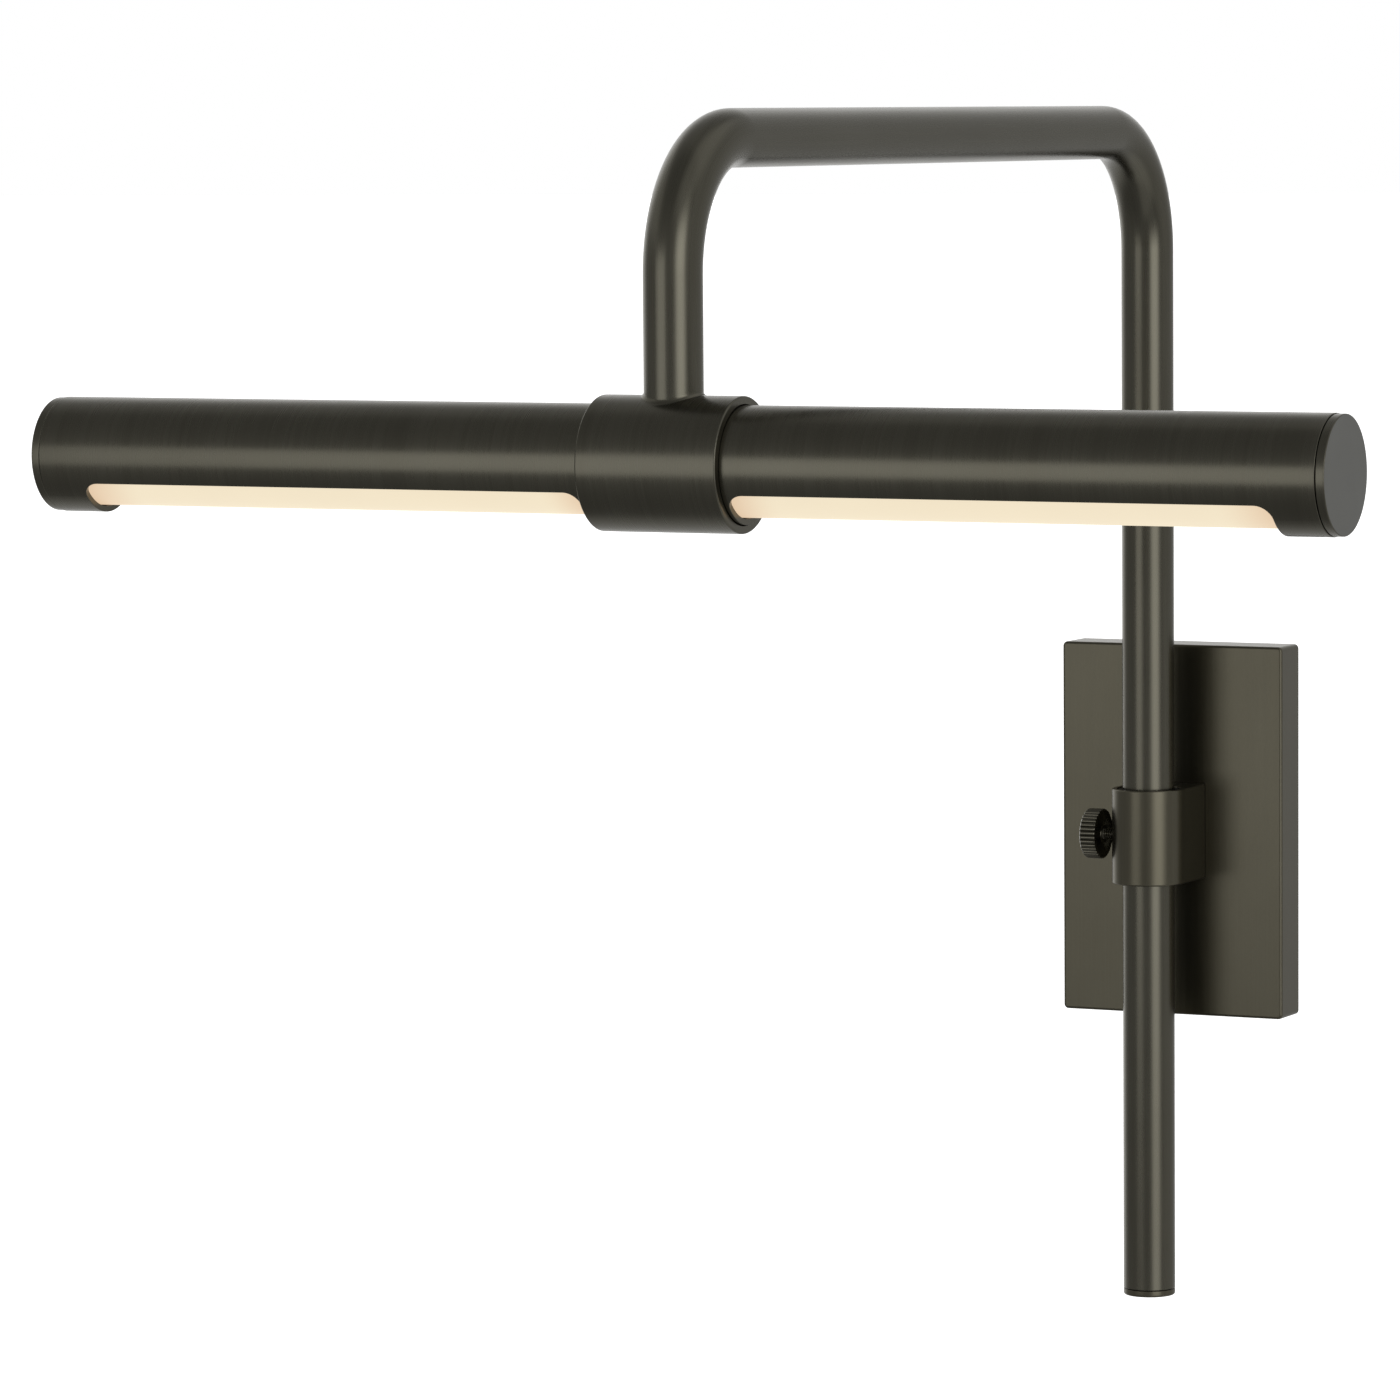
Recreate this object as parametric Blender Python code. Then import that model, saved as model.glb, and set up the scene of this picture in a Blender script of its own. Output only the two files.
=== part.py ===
"""Wall picture light: a Ø32.6 light tube on a Ø16.5 swan-neck stem, clamped in a collar on a wall plate.

Metres, +Z up. The origin is on the wall plane at the centre of the wall plate. The light lies along
X, the arm reaches forward along -Y, and the wall is the plane y = 0.
"""

from math import asin, cos, pi, radians, sin, tau

import bmesh
import bpy

MM = 0.001
GAP = 0.3 * MM                      # between pieces that touch on the real object

# Stem: one bent tube, from below the collar, up, forward and down to the light
STEM_R = 8.25 * MM
STEM_WALL = 1.2 * MM
STEM_Y = -34.5 * MM                 # stem axis, in front of the wall
STEM_BOTTOM_Z = -147.6 * MM
ARM_Z = 223.5 * MM                  # centre line of the arm
REACH = 341 * MM                    # from the stem axis to the light's axis
BEND_R = 37 * MM

# Light: tube, end caps and the sleeve that it tilts in
LIGHT_R = 16.3 * MM
LIGHT_WALL = 1.6 * MM
LIGHT_LENGTH = 390 * MM
LIGHT_Z = 135 * MM
CAP_R = 16.1 * MM
CAP_THICK = 2.5 * MM
SLEEVE_R = 18.8 * MM
SLEEVE_BORE_R = 16.9 * MM
SLEEVE_LENGTH = 42.5 * MM
SLOT_FROM_END = 15.7 * MM           # light slot, from the light's end
SLOT_FROM_SLEEVE = 1.2 * MM
SLOT_HALF_ANGLE = radians(63)       # either side of straight down
SLOT_CORNER = 3.5 * MM
TILT = radians(45)
DIFFUSER_R = 14.3 * MM

# Wall plate and collar
PLATE_W = 75.6 * MM
PLATE_H = 119.4 * MM
PLATE_D = 15 * MM
PLATE_WALL = 1.6 * MM
STRAP_T = 2 * MM
STRAP_W = 40 * MM
COLLAR_R = 11.6 * MM
COLLAR_H = 30.4 * MM
COLLAR_BORE_R = 10.05 * MM
LINER_R = 9.75 * MM
LINER_BORE_R = 8.55 * MM
KEY_HALF_W = 2.1 * MM
KEY_LENGTH = 8 * MM                 # half the height that the liner's two keys span
SLIDE = 35 * MM                     # height adjustment, each way
NECK_HOLE_R = 5.05 * MM

# Thumb screw
KNOB_R = 8 * MM
KNOB_INNER_X = -15.5 * MM
KNOB_THICK = 5.3 * MM
SCREW_R = 1.85 * MM
SCREW_HOLE_R = 2.15 * MM
SCREW_TIP_X = -10.85 * MM

# Inside the wall plate
STRAP_TOP = PLATE_H / 2 - PLATE_WALL - 2.4 * MM
FLANGE_DEPTH = 11 * MM
BOX_SCREW_Z = 41.65 * MM            # 83.3 mm between the wall box's two screws
WIRE_HOLE_R = 9 * MM
WIRE_HOLE_Z = -30 * MM
GROUND_XZ = (14 * MM, -9 * MM)
GRUB_R = 1.9 * MM
GRUB_HOLE_R = 2.25 * MM
GRUB_X = 12 * MM
GRUB_Y = -7 * MM
DRIVER_BOTTOM_Z = 13.5 * MM
NIPPLE_END_Y = -8.6 * MM
PIN_R = 1.4 * MM                    # pin that stops the collar turning on the plate
PIN_Z = 10.2 * MM

# Inside the head and the stem
LEAD_R = 1.5 * MM
LEAD_TURN = 5 * MM
GUIDE_R = 3.3 * MM                  # hollow stud from the sleeve into the light tube
GUIDE_TIP = 15 * MM                 # its tip, from the light's axis
RING_X = 13 * MM
RING_HALF_W = 1 * MM
LED_PITCH = 10.5 * MM
LED_COUNT = 17

# Facets round each kind of piece
FINE = 48
MEDIUM = 28
COARSE = 16

TUBE_INNER_R = LIGHT_R - LIGHT_WALL
HALF_LIGHT = LIGHT_LENGTH / 2
SLOT_IN = SLEEVE_LENGTH / 2 + SLOT_FROM_SLEEVE
SLOT_OUT = HALF_LIGHT - SLOT_FROM_END
PLATE_FRONT = -PLATE_D
PLATE_BACK_FACE = -PLATE_D + PLATE_WALL    # the front wall's inner side


# ---------------------------------------------------------------- helpers

def clear_scene():
    for item in list(bpy.data.objects):
        bpy.data.objects.remove(item, do_unlink=True)


def material(name, colour, roughness, metallic):
    made = bpy.data.materials.get(name)
    if made is None:
        made = bpy.data.materials.new(name)
        made.use_nodes = True
        shader = made.node_tree.nodes["Principled BSDF"]
        shader.inputs["Base Color"].default_value = (*colour, 1)
        shader.inputs["Roughness"].default_value = roughness
        shader.inputs["Metallic"].default_value = metallic
    return made


def bronze():
    return material("bronze", (0.13, 0.12, 0.105), 0.35, 1)


def steel():
    return material("zinc_steel", (0.55, 0.56, 0.57), 0.4, 1)


def aluminium():
    return material("aluminium", (0.75, 0.75, 0.76), 0.4, 1)


def brass():
    return material("brass", (0.7, 0.5, 0.2), 0.35, 1)


def opal():
    return material("opal_diffuser", (0.95, 0.9, 0.8), 0.5, 0)


def nylon():
    return material("black_nylon", (0.03, 0.03, 0.03), 0.5, 0)


def rubber():
    return material("black_rubber", (0.02, 0.02, 0.02), 0.8, 0)


def white_plastic():
    return material("white_plastic", (0.85, 0.85, 0.83), 0.45, 0)


def board():
    return material("white_board", (0.9, 0.9, 0.88), 0.5, 0)


def add_empty(name, location):
    item = bpy.data.objects.new(name, None)
    item.location = location
    bpy.context.collection.objects.link(item)
    return item


def add_object(name, mesh_builder, finish, parent, location=(0, 0, 0)):
    """Close up a bmesh as an object: faces out, smooth with sharp edges, under its parent."""
    bmesh.ops.recalc_face_normals(mesh_builder, faces=mesh_builder.faces)
    mesh = bpy.data.meshes.new(name)
    mesh_builder.to_mesh(mesh)
    mesh_builder.free()
    mesh.shade_smooth()
    mesh.set_sharp_from_angle(angle=radians(35))
    item = bpy.data.objects.new(name, mesh)
    bpy.context.collection.objects.link(item)
    item.parent = parent
    item.location = location
    if finish is not None:
        mesh.materials.append(finish)
    return item


def boolean(item, other, operation="DIFFERENCE"):
    """Cut or join with another object, which becomes a hidden helper."""
    other.hide_render = True
    other.display_type = "WIRE"
    modifier = item.modifiers.new(other.name, "BOOLEAN")
    modifier.operation = operation
    modifier.solver = "EXACT"
    modifier.object = other


def on_axis(axis, radius, height, angle):
    """A point at a radius, height and angle about the X, Y or Z axis."""
    if axis == "X":
        return (height, radius * cos(angle), radius * sin(angle))
    if axis == "Y":
        return (radius * sin(angle), height, radius * cos(angle))
    return (radius * cos(angle), radius * sin(angle), height)


def turned(profile, axis, count=28):
    """A closed profile of (radius, height) points, turned about an axis. Radius 0 is a pole."""
    mesh = bmesh.new()
    rings = []
    for radius, height in profile:
        if radius == 0:
            rings.append([mesh.verts.new(on_axis(axis, 0, height, 0))])
        else:
            angles = [tau * i / count for i in range(count)]
            rings.append([mesh.verts.new(on_axis(axis, radius, height, angle)) for angle in angles])
    for lower, upper in zip(rings, rings[1:] + rings[:1]):
        if len(lower) == len(upper) == 1:
            continue
        for i in range(count):
            j = (i + 1) % count
            corners = [lower[i % len(lower)], lower[j % len(lower)]]
            corners += [upper[j % len(upper)], upper[i % len(upper)]]
            mesh.faces.new(list(dict.fromkeys(corners)))
    return mesh


def tube_profile(outer, inner, low, high, chamfer=0):
    """A tube's wall, with a chamfer on its outer edges."""
    return [
        (inner, low),
        (outer - chamfer, low),
        (outer, low + chamfer),
        (outer, high - chamfer),
        (outer - chamfer, high),
        (inner, high),
    ] if chamfer else [(inner, low), (outer, low), (outer, high), (inner, high)]


def rod_profile(radius, low, high, chamfer=0):
    """A solid rod, with a chamfer on both edges."""
    if not chamfer:
        return [(0, low), (radius, low), (radius, high), (0, high)]
    return [
        (0, low),
        (radius - chamfer, low),
        (radius, low + chamfer),
        (radius, high - chamfer),
        (radius - chamfer, high),
        (0, high),
    ]


def prism(outline, axis, low, high):
    """A flat outline pushed along an axis. The outline is in the other two axes, in X, Y, Z order."""
    mesh = bmesh.new()
    rings = []
    for height in (low, high):
        if axis == "X":
            points = [(height, a, b) for a, b in outline]
        elif axis == "Y":
            points = [(a, height, b) for a, b in outline]
        else:
            points = [(a, b, height) for a, b in outline]
        rings.append([mesh.verts.new(point) for point in points])
    mesh.faces.new(rings[0])
    mesh.faces.new(rings[1])
    for i in range(len(outline)):
        j = (i + 1) % len(outline)
        mesh.faces.new([rings[0][i], rings[0][j], rings[1][j], rings[1][i]])
    return mesh


def block(low, high):
    outline = [(low[0], low[1]), (high[0], low[1]), (high[0], high[1]), (low[0], high[1])]
    return prism(outline, "Z", low[2], high[2])


def bevel_edges(mesh, width, segments, chosen=lambda edge: True):
    edges = [edge for edge in mesh.edges if chosen(edge)]
    bmesh.ops.bevel(mesh, geom=edges, offset=width, segments=segments, profile=0.5, affect="EDGES")


def arc(radius, start, end, steps, centre=(0, 0)):
    """Points along an arc, both ends included."""
    angles = [start + (end - start) * i / steps for i in range(steps + 1)]
    return [(centre[0] + radius * cos(a), centre[1] + radius * sin(a)) for a in angles]


def rounded_rectangle(low, high, radius, steps=6):
    outline = []
    corners = [(high[0], high[1], 0), (low[0], high[1], 1), (low[0], low[1], 2), (high[0], low[1], 3)]
    for x, y, turn in corners:
        centre_x = x - radius if turn in (0, 3) else x + radius
        centre_y = y - radius if turn in (0, 1) else y + radius
        outline += arc(radius, turn * pi / 2, (turn + 1) * pi / 2, steps, (centre_x, centre_y))
    return outline


def fluted_outline(tip_r, root_r, count):
    """A wheel outline with straight flutes: two tip points and two root points a flute."""
    outline = []
    for i in range(count):
        for part, radius in ((0.10, tip_r), (0.40, tip_r), (0.62, root_r), (0.88, root_r)):
            angle = tau * (i + part) / count
            outline.append((radius * cos(angle), radius * sin(angle)))
    return outline


def swept(path, radius, bore=0, count=28):
    """A tube or rod along a path in the YZ plane, given as (y, z, heading) with heading from +Z to -Y."""
    mesh = bmesh.new()

    def rings_of(ring_r):
        rings = []
        for y, z, heading in path:
            across = (cos(heading), sin(heading))
            ring = []
            for i in range(count):
                angle = tau * i / count
                side = ring_r * sin(angle)
                point = (ring_r * cos(angle), y + side * across[0], z + side * across[1])
                ring.append(mesh.verts.new(point))
            rings.append(ring)
        return rings

    def skin(rings):
        for lower, upper in zip(rings, rings[1:]):
            for i in range(count):
                j = (i + 1) % count
                mesh.faces.new([lower[i], lower[j], upper[j], upper[i]])

    outer = rings_of(radius)
    skin(outer)
    if not bore:
        mesh.faces.new(outer[0])
        mesh.faces.new(outer[-1])
        return mesh
    inner = rings_of(bore)
    skin(inner)
    for out_ring, in_ring in ((outer[0], inner[0]), (outer[-1], inner[-1])):
        for i in range(count):
            j = (i + 1) % count
            mesh.faces.new([out_ring[i], out_ring[j], in_ring[j], in_ring[i]])
    return mesh


def bend(centre, radius, start, end, steps):
    """Path points round a bend. Heading 0 is up and a quarter turn is forward."""
    points = []
    for i in range(steps + 1):
        heading = start + (end - start) * i / steps
        points.append((centre[0] + radius * cos(heading), centre[1] + radius * sin(heading), heading))
    return points


# ---------------------------------------------------------------- wall plate

def backplate(wall):
    """Pressed wall plate: a pan, open towards the wall."""
    half_w, half_h = PLATE_W / 2, PLATE_H / 2
    mesh = block((-half_w, PLATE_FRONT, -half_h), (half_w, 0, half_h))
    bevel_edges(mesh, 1.2 * MM, 3, lambda edge: any(vert.co.y < -GAP for vert in edge.verts))
    pan = add_object("backplate", mesh, bronze(), wall)
    inside = block(
        (-half_w + PLATE_WALL, PLATE_BACK_FACE, -half_h + PLATE_WALL),
        (half_w - PLATE_WALL, 5 * MM, half_h - PLATE_WALL),
    )
    boolean(pan, add_object("cut_pan", inside, None, wall))
    nipple_hole = turned(rod_profile(NECK_HOLE_R, PLATE_FRONT - 3 * MM, PLATE_BACK_FACE + 3 * MM), "Y")
    boolean(pan, add_object("cut_pan_nipple", nipple_hole, None, wall))
    pin_hole = turned(rod_profile(PIN_R + GAP, PLATE_FRONT - 3 * MM, PLATE_BACK_FACE + 3 * MM), "Y", COARSE)
    boolean(pan, add_object("cut_pan_pin", pin_hole, None, wall, (0, 0, PIN_Z)))
    for side in (-1, 1):
        hole = turned(rod_profile(GRUB_HOLE_R, -half_h - 3 * MM, -half_h + 2.5 * MM), "Z", COARSE)
        boolean(pan, add_object(f"cut_pan_grub{side}", hole, None, wall, (side * GRUB_X, GRUB_Y, 0)))


def mounting_bracket(wall):
    """Steel strap with a flange at each end, screwed to the wall box; the plate hangs on it."""
    outline = [
        (0, -STRAP_TOP),
        (0, STRAP_TOP),
        (-FLANGE_DEPTH, STRAP_TOP),
        (-FLANGE_DEPTH, STRAP_TOP - STRAP_T),
        (-STRAP_T, STRAP_TOP - STRAP_T),
        (-STRAP_T, -STRAP_TOP + STRAP_T),
        (-FLANGE_DEPTH, -STRAP_TOP + STRAP_T),
        (-FLANGE_DEPTH, -STRAP_TOP),
    ]
    strap = add_object("mounting_bracket", prism(outline, "X", -STRAP_W / 2, STRAP_W / 2), steel(), wall)
    through = (-STRAP_T - 2 * MM, 2 * MM)
    wire_hole = turned(rod_profile(WIRE_HOLE_R, *through), "Y", MEDIUM)
    boolean(strap, add_object("cut_wire_hole", wire_hole, None, wall, (0, 0, WIRE_HOLE_Z)))
    ground_hole = turned(rod_profile(2.3 * MM, *through), "Y", COARSE)
    boolean(strap, add_object("cut_ground", ground_hole, None, wall, (GROUND_XZ[0], 0, GROUND_XZ[1])))
    for side in (-1, 1):
        slot = rounded_rectangle((-7 * MM, -2.4 * MM), (7 * MM, 2.4 * MM), 2.35 * MM)
        cutter = add_object(f"cut_box_slot{side}", prism(slot, "Y", *through), None, wall)
        cutter.location.z = side * BOX_SCREW_Z
        boolean(strap, cutter)
        hole = turned(rod_profile(GRUB_HOLE_R, -STRAP_TOP - 2 * MM, -STRAP_TOP + 2 * STRAP_T), "Z", COARSE)
        boolean(strap, add_object(f"cut_flange{side}", hole, None, wall, (side * GRUB_X, GRUB_Y, 0)))


def grub_screws(wall):
    """Two grub screws in the lower flange stand out into the plate's edge and lock it."""
    bottom = -PLATE_H / 2 + 0.2 * MM
    for side, name in ((-1, "grub_screw_left"), (1, "grub_screw_right")):
        mesh = turned(rod_profile(GRUB_R, bottom, bottom + 6 * MM, 0.3 * MM), "Z", COARSE)
        screw = add_object(name, mesh, steel(), wall, (side * GRUB_X, GRUB_Y, 0))
        socket = prism(arc(1.1 * MM, 0, tau * 5 / 6, 5), "Z", bottom - 2 * MM, bottom + 2 * MM)
        boolean(screw, add_object(f"cut_socket{side}", socket, None, wall, (side * GRUB_X, GRUB_Y, 0)))


def ground_screw(wall):
    """Green earth screw in the strap, with a hexagon head and a washer face."""
    head = -STRAP_T - GAP
    profile = [
        (0, head - 2.8 * MM),
        (3.2 * MM, head - 2.8 * MM),
        (3.6 * MM, head - 2.4 * MM),
        (3.6 * MM, head - 0.8 * MM),
        (4.4 * MM, head - 0.8 * MM),
        (4.4 * MM, head),
        (1.9 * MM, head),
        (1.9 * MM, -GAP),
        (0, -GAP),
    ]
    green = material("green_steel", (0.05, 0.3, 0.12), 0.4, 0.6)
    centre = (GROUND_XZ[0], 0, GROUND_XZ[1])
    add_object("ground_screw", turned(profile, "Y", COARSE), green, wall, centre)


def led_driver(wall):
    """Potted driver, bonded to the strap in the upper half of the plate."""
    mesh = block((-30 * MM, -12 * MM, DRIVER_BOTTOM_Z), (30 * MM, -STRAP_T - GAP, 50 * MM))
    bevel_edges(mesh, 0.8 * MM, 2)
    add_object("led_driver", mesh, white_plastic(), wall)


def terminal_block(wall):
    """Three-way push-in connector for the supply wires."""
    mesh = block((-17 * MM, -10.5 * MM, -19 * MM), (5 * MM, -STRAP_T - GAP, -10 * MM))
    bevel_edges(mesh, 0.6 * MM, 1)
    item = add_object("terminal_block", mesh, white_plastic(), wall)
    for way in range(3):
        entry = turned(rod_profile(1.5 * MM, -23 * MM, -13 * MM), "Z", COARSE)
        centre = (-13 * MM + way * 7 * MM, -6.4 * MM, 0)
        boolean(item, add_object(f"cut_way{way}", entry, None, wall, centre))


# ---------------------------------------------------------------- collar and its fixings

def collar(stem_axis):
    """Clamp block: round in front, with a full-height neck back to the wall plate."""
    back = PLATE_FRONT - GAP - STEM_Y
    front = arc(COLLAR_R, -pi, 0, 24)
    mesh = prism(front + [(COLLAR_R, back), (-COLLAR_R, back)], "Z", -COLLAR_H / 2, COLLAR_H / 2)
    flat = COLLAR_H / 2 - GAP

    def on_rim(edge):
        heights = [vert.co.z for vert in edge.verts]
        return min(heights) > flat or max(heights) < -flat

    bevel_edges(mesh, 0.5 * MM, 2, on_rim)
    item = add_object("collar", mesh, bronze(), stem_axis)
    bore = turned(rod_profile(COLLAR_BORE_R, -COLLAR_H, COLLAR_H), "Z", FINE)
    boolean(item, add_object("cut_collar_bore", bore, None, stem_axis))
    neck = turned(rod_profile(NECK_HOLE_R, COLLAR_BORE_R / 2, 2 * back), "Y")
    boolean(item, add_object("cut_neck", neck, None, stem_axis))
    tapped = turned(rod_profile(SCREW_HOLE_R, -2 * COLLAR_R, -COLLAR_BORE_R / 2), "X", COARSE)
    boolean(item, add_object("cut_tapped_hole", tapped, None, stem_axis))
    pin_hole = turned(rod_profile(PIN_R + GAP, back - 6 * MM, back + 3 * MM), "Y", COARSE)
    boolean(item, add_object("cut_collar_pin", pin_hole, None, stem_axis, (0, 0, PIN_Z)))


def neck_fixings(wall):
    """Hollow nipple, washer and nut that clamp the collar's neck to the plate, and its locating pin."""
    nipple = tube_profile(4.75 * MM, 2.6 * MM, STEM_Y + COLLAR_BORE_R + 0.7 * MM, NIPPLE_END_Y, 0.4 * MM)
    add_object("fixing_nipple", turned(nipple, "Y"), brass(), wall)

    washer_low = PLATE_BACK_FACE + GAP
    washer_high = washer_low + 0.8 * MM
    washer = prism(fluted_outline(8 * MM, 7.1 * MM, 12), "Y", washer_low, washer_high)
    item = add_object("lock_washer", washer, steel(), wall)
    hole = turned(rod_profile(NECK_HOLE_R, PLATE_FRONT, 0), "Y")
    boolean(item, add_object("cut_washer", hole, None, wall))

    nut = prism(arc(8.08 * MM, 0, tau * 5 / 6, 5), "Y", washer_high + GAP, washer_high + GAP + 3 * MM)
    item = add_object("hex_nut", nut, brass(), wall)
    hole = turned(rod_profile(NECK_HOLE_R, PLATE_FRONT, 0), "Y")
    boolean(item, add_object("cut_nut", hole, None, wall))

    pin = rod_profile(PIN_R, PLATE_FRONT - 5.5 * MM, PLATE_BACK_FACE + 0.8 * MM, 0.3 * MM)
    add_object("locating_pin", turned(pin, "Y", COARSE), steel(), wall, (0, 0, PIN_Z))


def driver_lead(wall):
    """Low-voltage lead from the driver, through the nipple, to the slot in the stem."""
    path = [(STEM_Y + LINER_BORE_R + 0.1 * MM, 0, -pi / 2)]
    path += bend((-9.6 * MM, LEAD_TURN), LEAD_TURN, -pi / 2, 0, 5)
    path.append((LEAD_TURN - 9.6 * MM, DRIVER_BOTTOM_Z - GAP, 0))
    add_object("driver_lead", swept(path, LEAD_R, count=10), rubber(), wall)


def collar_liner(stem_axis):
    """Nylon bush that the stem slides in. Its keys sit in the stem's slot, and it swivels in the collar."""
    half = COLLAR_H / 2 - 0.4 * MM
    bush = turned(tube_profile(LINER_R, LINER_BORE_R, -half, half), "Z", FINE)
    item = add_object("collar_liner", bush, nylon(), stem_axis)
    key_inner = STEM_R - 0.8 * MM
    for side in (-1, 1):
        low, high = sorted((side * 3.5 * MM, side * KEY_LENGTH))
        key = block((-KEY_HALF_W, key_inner, low), (KEY_HALF_W, LINER_BORE_R + 0.6 * MM, high))
        boolean(item, add_object(f"join_key{side}", key, None, stem_axis), "UNION")
    window = 5 * MM
    lead_window = block((-window, STEM_R / 2, -2.7 * MM), (window, LINER_R + 2 * MM, 2.7 * MM))
    boolean(item, add_object("cut_lead_window", lead_window, None, stem_axis))
    pad_window = block((-LINER_R - 2 * MM, -window, -2.7 * MM), (-STEM_R / 2, window, 2.7 * MM))
    boolean(item, add_object("cut_pad_window", pad_window, None, stem_axis))


# ---------------------------------------------------------------- thumb screw

def thumb_screw(stem_axis):
    """Knurled head on a thin screw, through the collar's side."""
    outer = KNOB_INNER_X - KNOB_THICK
    mesh = prism(fluted_outline(KNOB_R, KNOB_R - 0.55 * MM, 34), "X", outer, KNOB_INNER_X)
    item = add_object("thumb_screw", mesh, bronze(), stem_axis)
    profile = [
        (0, SCREW_TIP_X),
        (SCREW_R, SCREW_TIP_X),
        (SCREW_R, KNOB_INNER_X + 0.6 * MM),
        (3 * MM, KNOB_INNER_X + 0.3 * MM),
        (3 * MM, KNOB_INNER_X - 2 * MM),
        (0, KNOB_INNER_X - 2 * MM),
    ]
    boolean(item, add_object("join_screw", turned(profile, "X", COARSE), None, stem_axis), "UNION")


def pressure_pad(stem_axis):
    """Nylon pad between the screw's tip and the stem."""
    pad = rod_profile(1.8 * MM, SCREW_TIP_X + GAP, -STEM_R - GAP, 0.2 * MM)
    add_object("pressure_pad", turned(pad, "X", COARSE), nylon(), stem_axis)


# ---------------------------------------------------------------- stem

def stem_path(low, end, steps):
    """The stem's centre line, from a height below the collar to a height above the light's axis."""
    bend_z = ARM_Z - BEND_R
    path = [(0, low, 0)]
    path += bend((-BEND_R, bend_z), BEND_R, 0, pi / 2, steps)
    path += bend((-REACH + BEND_R, bend_z), BEND_R, pi / 2, pi, steps)
    path.append((-REACH, end, pi))
    return path


def stem_tube(stem_axis):
    """The bent tube: slotted behind for the lead, and coped to the sleeve at its end."""
    path = stem_path(STEM_BOTTOM_Z + 2.3 * MM, LIGHT_Z + SLEEVE_R / 3, 9)
    item = add_object("stem_tube", swept(path, STEM_R, STEM_R - STEM_WALL, MEDIUM), bronze(), stem_axis)
    half_w = KEY_HALF_W + 0.4 * MM
    half_l = KEY_LENGTH + SLIDE + 1 * MM
    outline = rounded_rectangle((-half_w, -half_l), (half_w, half_l), half_w * 0.98)
    slot = prism(outline, "Y", STEM_R / 2, 2 * STEM_R)
    boolean(item, add_object("cut_stem_slot", slot, None, stem_axis))
    cope = turned(rod_profile(SLEEVE_R + GAP, -SLEEVE_LENGTH / 2, SLEEVE_LENGTH / 2), "X", FINE)
    boolean(item, add_object("cut_cope", cope, None, stem_axis, (0, -REACH, LIGHT_Z)))


def stem_end_plug(stem_axis):
    """Push-in plug that closes the stem's lower end."""
    low = STEM_BOTTOM_Z
    profile = [
        (0, low),
        (STEM_R - 1.2 * MM, low),
        (STEM_R - 0.3 * MM, low + 0.4 * MM),
        (STEM_R, low + 1.2 * MM),
        (STEM_R, low + 2 * MM),
        (STEM_R - STEM_WALL - GAP, low + 2 * MM),
        (STEM_R - STEM_WALL - GAP, low + 8 * MM),
        (0, low + 8 * MM),
    ]
    add_object("stem_end_plug", turned(profile, "Z", MEDIUM), bronze(), stem_axis)


def stem_lead(stem_axis):
    """Lead from the slot behind the collar, up the stem, along the arm and down to the light."""
    path = [(STEM_R - STEM_WALL, 0, pi / 2)]
    path += bend((LEAD_TURN, LEAD_TURN), -LEAD_TURN, pi / 2, 0, 4)
    path += stem_path(LEAD_TURN + 2 * MM, LIGHT_Z + GUIDE_TIP - 0.2 * MM, 8)
    add_object("stem_lead", swept(path, LEAD_R, count=10), rubber(), stem_axis)


def head_sleeve(tilt_axis):
    """Sleeve that the light tube tilts in, with grooves for two friction rings."""
    half = SLEEVE_LENGTH / 2
    edge = 0.3 * MM
    groove_r = SLEEVE_BORE_R + 1 * MM
    profile = [(SLEEVE_BORE_R, -half), (SLEEVE_R - edge, -half), (SLEEVE_R, -half + edge)]
    profile += [(SLEEVE_R, half - edge), (SLEEVE_R - edge, half), (SLEEVE_BORE_R, half)]
    for centre in (RING_X, -RING_X):
        high, low = centre + RING_HALF_W + GAP, centre - RING_HALF_W - GAP
        profile += [(SLEEVE_BORE_R, high), (groove_r, high), (groove_r, low), (SLEEVE_BORE_R, low)]
    item = add_object("head_sleeve", turned(profile, "X", FINE), bronze(), tilt_axis)
    hole = turned(rod_profile(GUIDE_R + GAP, SLEEVE_BORE_R / 2, 2 * SLEEVE_R), "Z", COARSE)
    boolean(item, add_object("cut_sleeve_hole", hole, None, tilt_axis))


def friction_rings(tilt_axis):
    """Rubber rings that hold the light at its tilt."""
    for side, name in ((-1, "friction_ring_left"), (1, "friction_ring_right")):
        low, high = side * RING_X - RING_HALF_W, side * RING_X + RING_HALF_W
        profile = tube_profile(SLEEVE_BORE_R + 0.7 * MM, LIGHT_R + GAP, low, high)
        add_object(name, turned(profile, "X", FINE), rubber(), tilt_axis)


def guide_nipple(tilt_axis):
    """Hollow stud through the sleeve: it carries the lead, and its end limits the tilt."""
    bore = 2.3 * MM
    flange_low = SLEEVE_R + GAP
    profile = [
        (bore, GUIDE_TIP),
        (GUIDE_R, GUIDE_TIP),
        (GUIDE_R, flange_low),
        (5.8 * MM, flange_low),
        (5.8 * MM, flange_low + 2 * MM),
        (bore, flange_low + 2 * MM),
    ]
    add_object("guide_nipple", turned(profile, "Z", COARSE), brass(), tilt_axis)


# ---------------------------------------------------------------- light head

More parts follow.
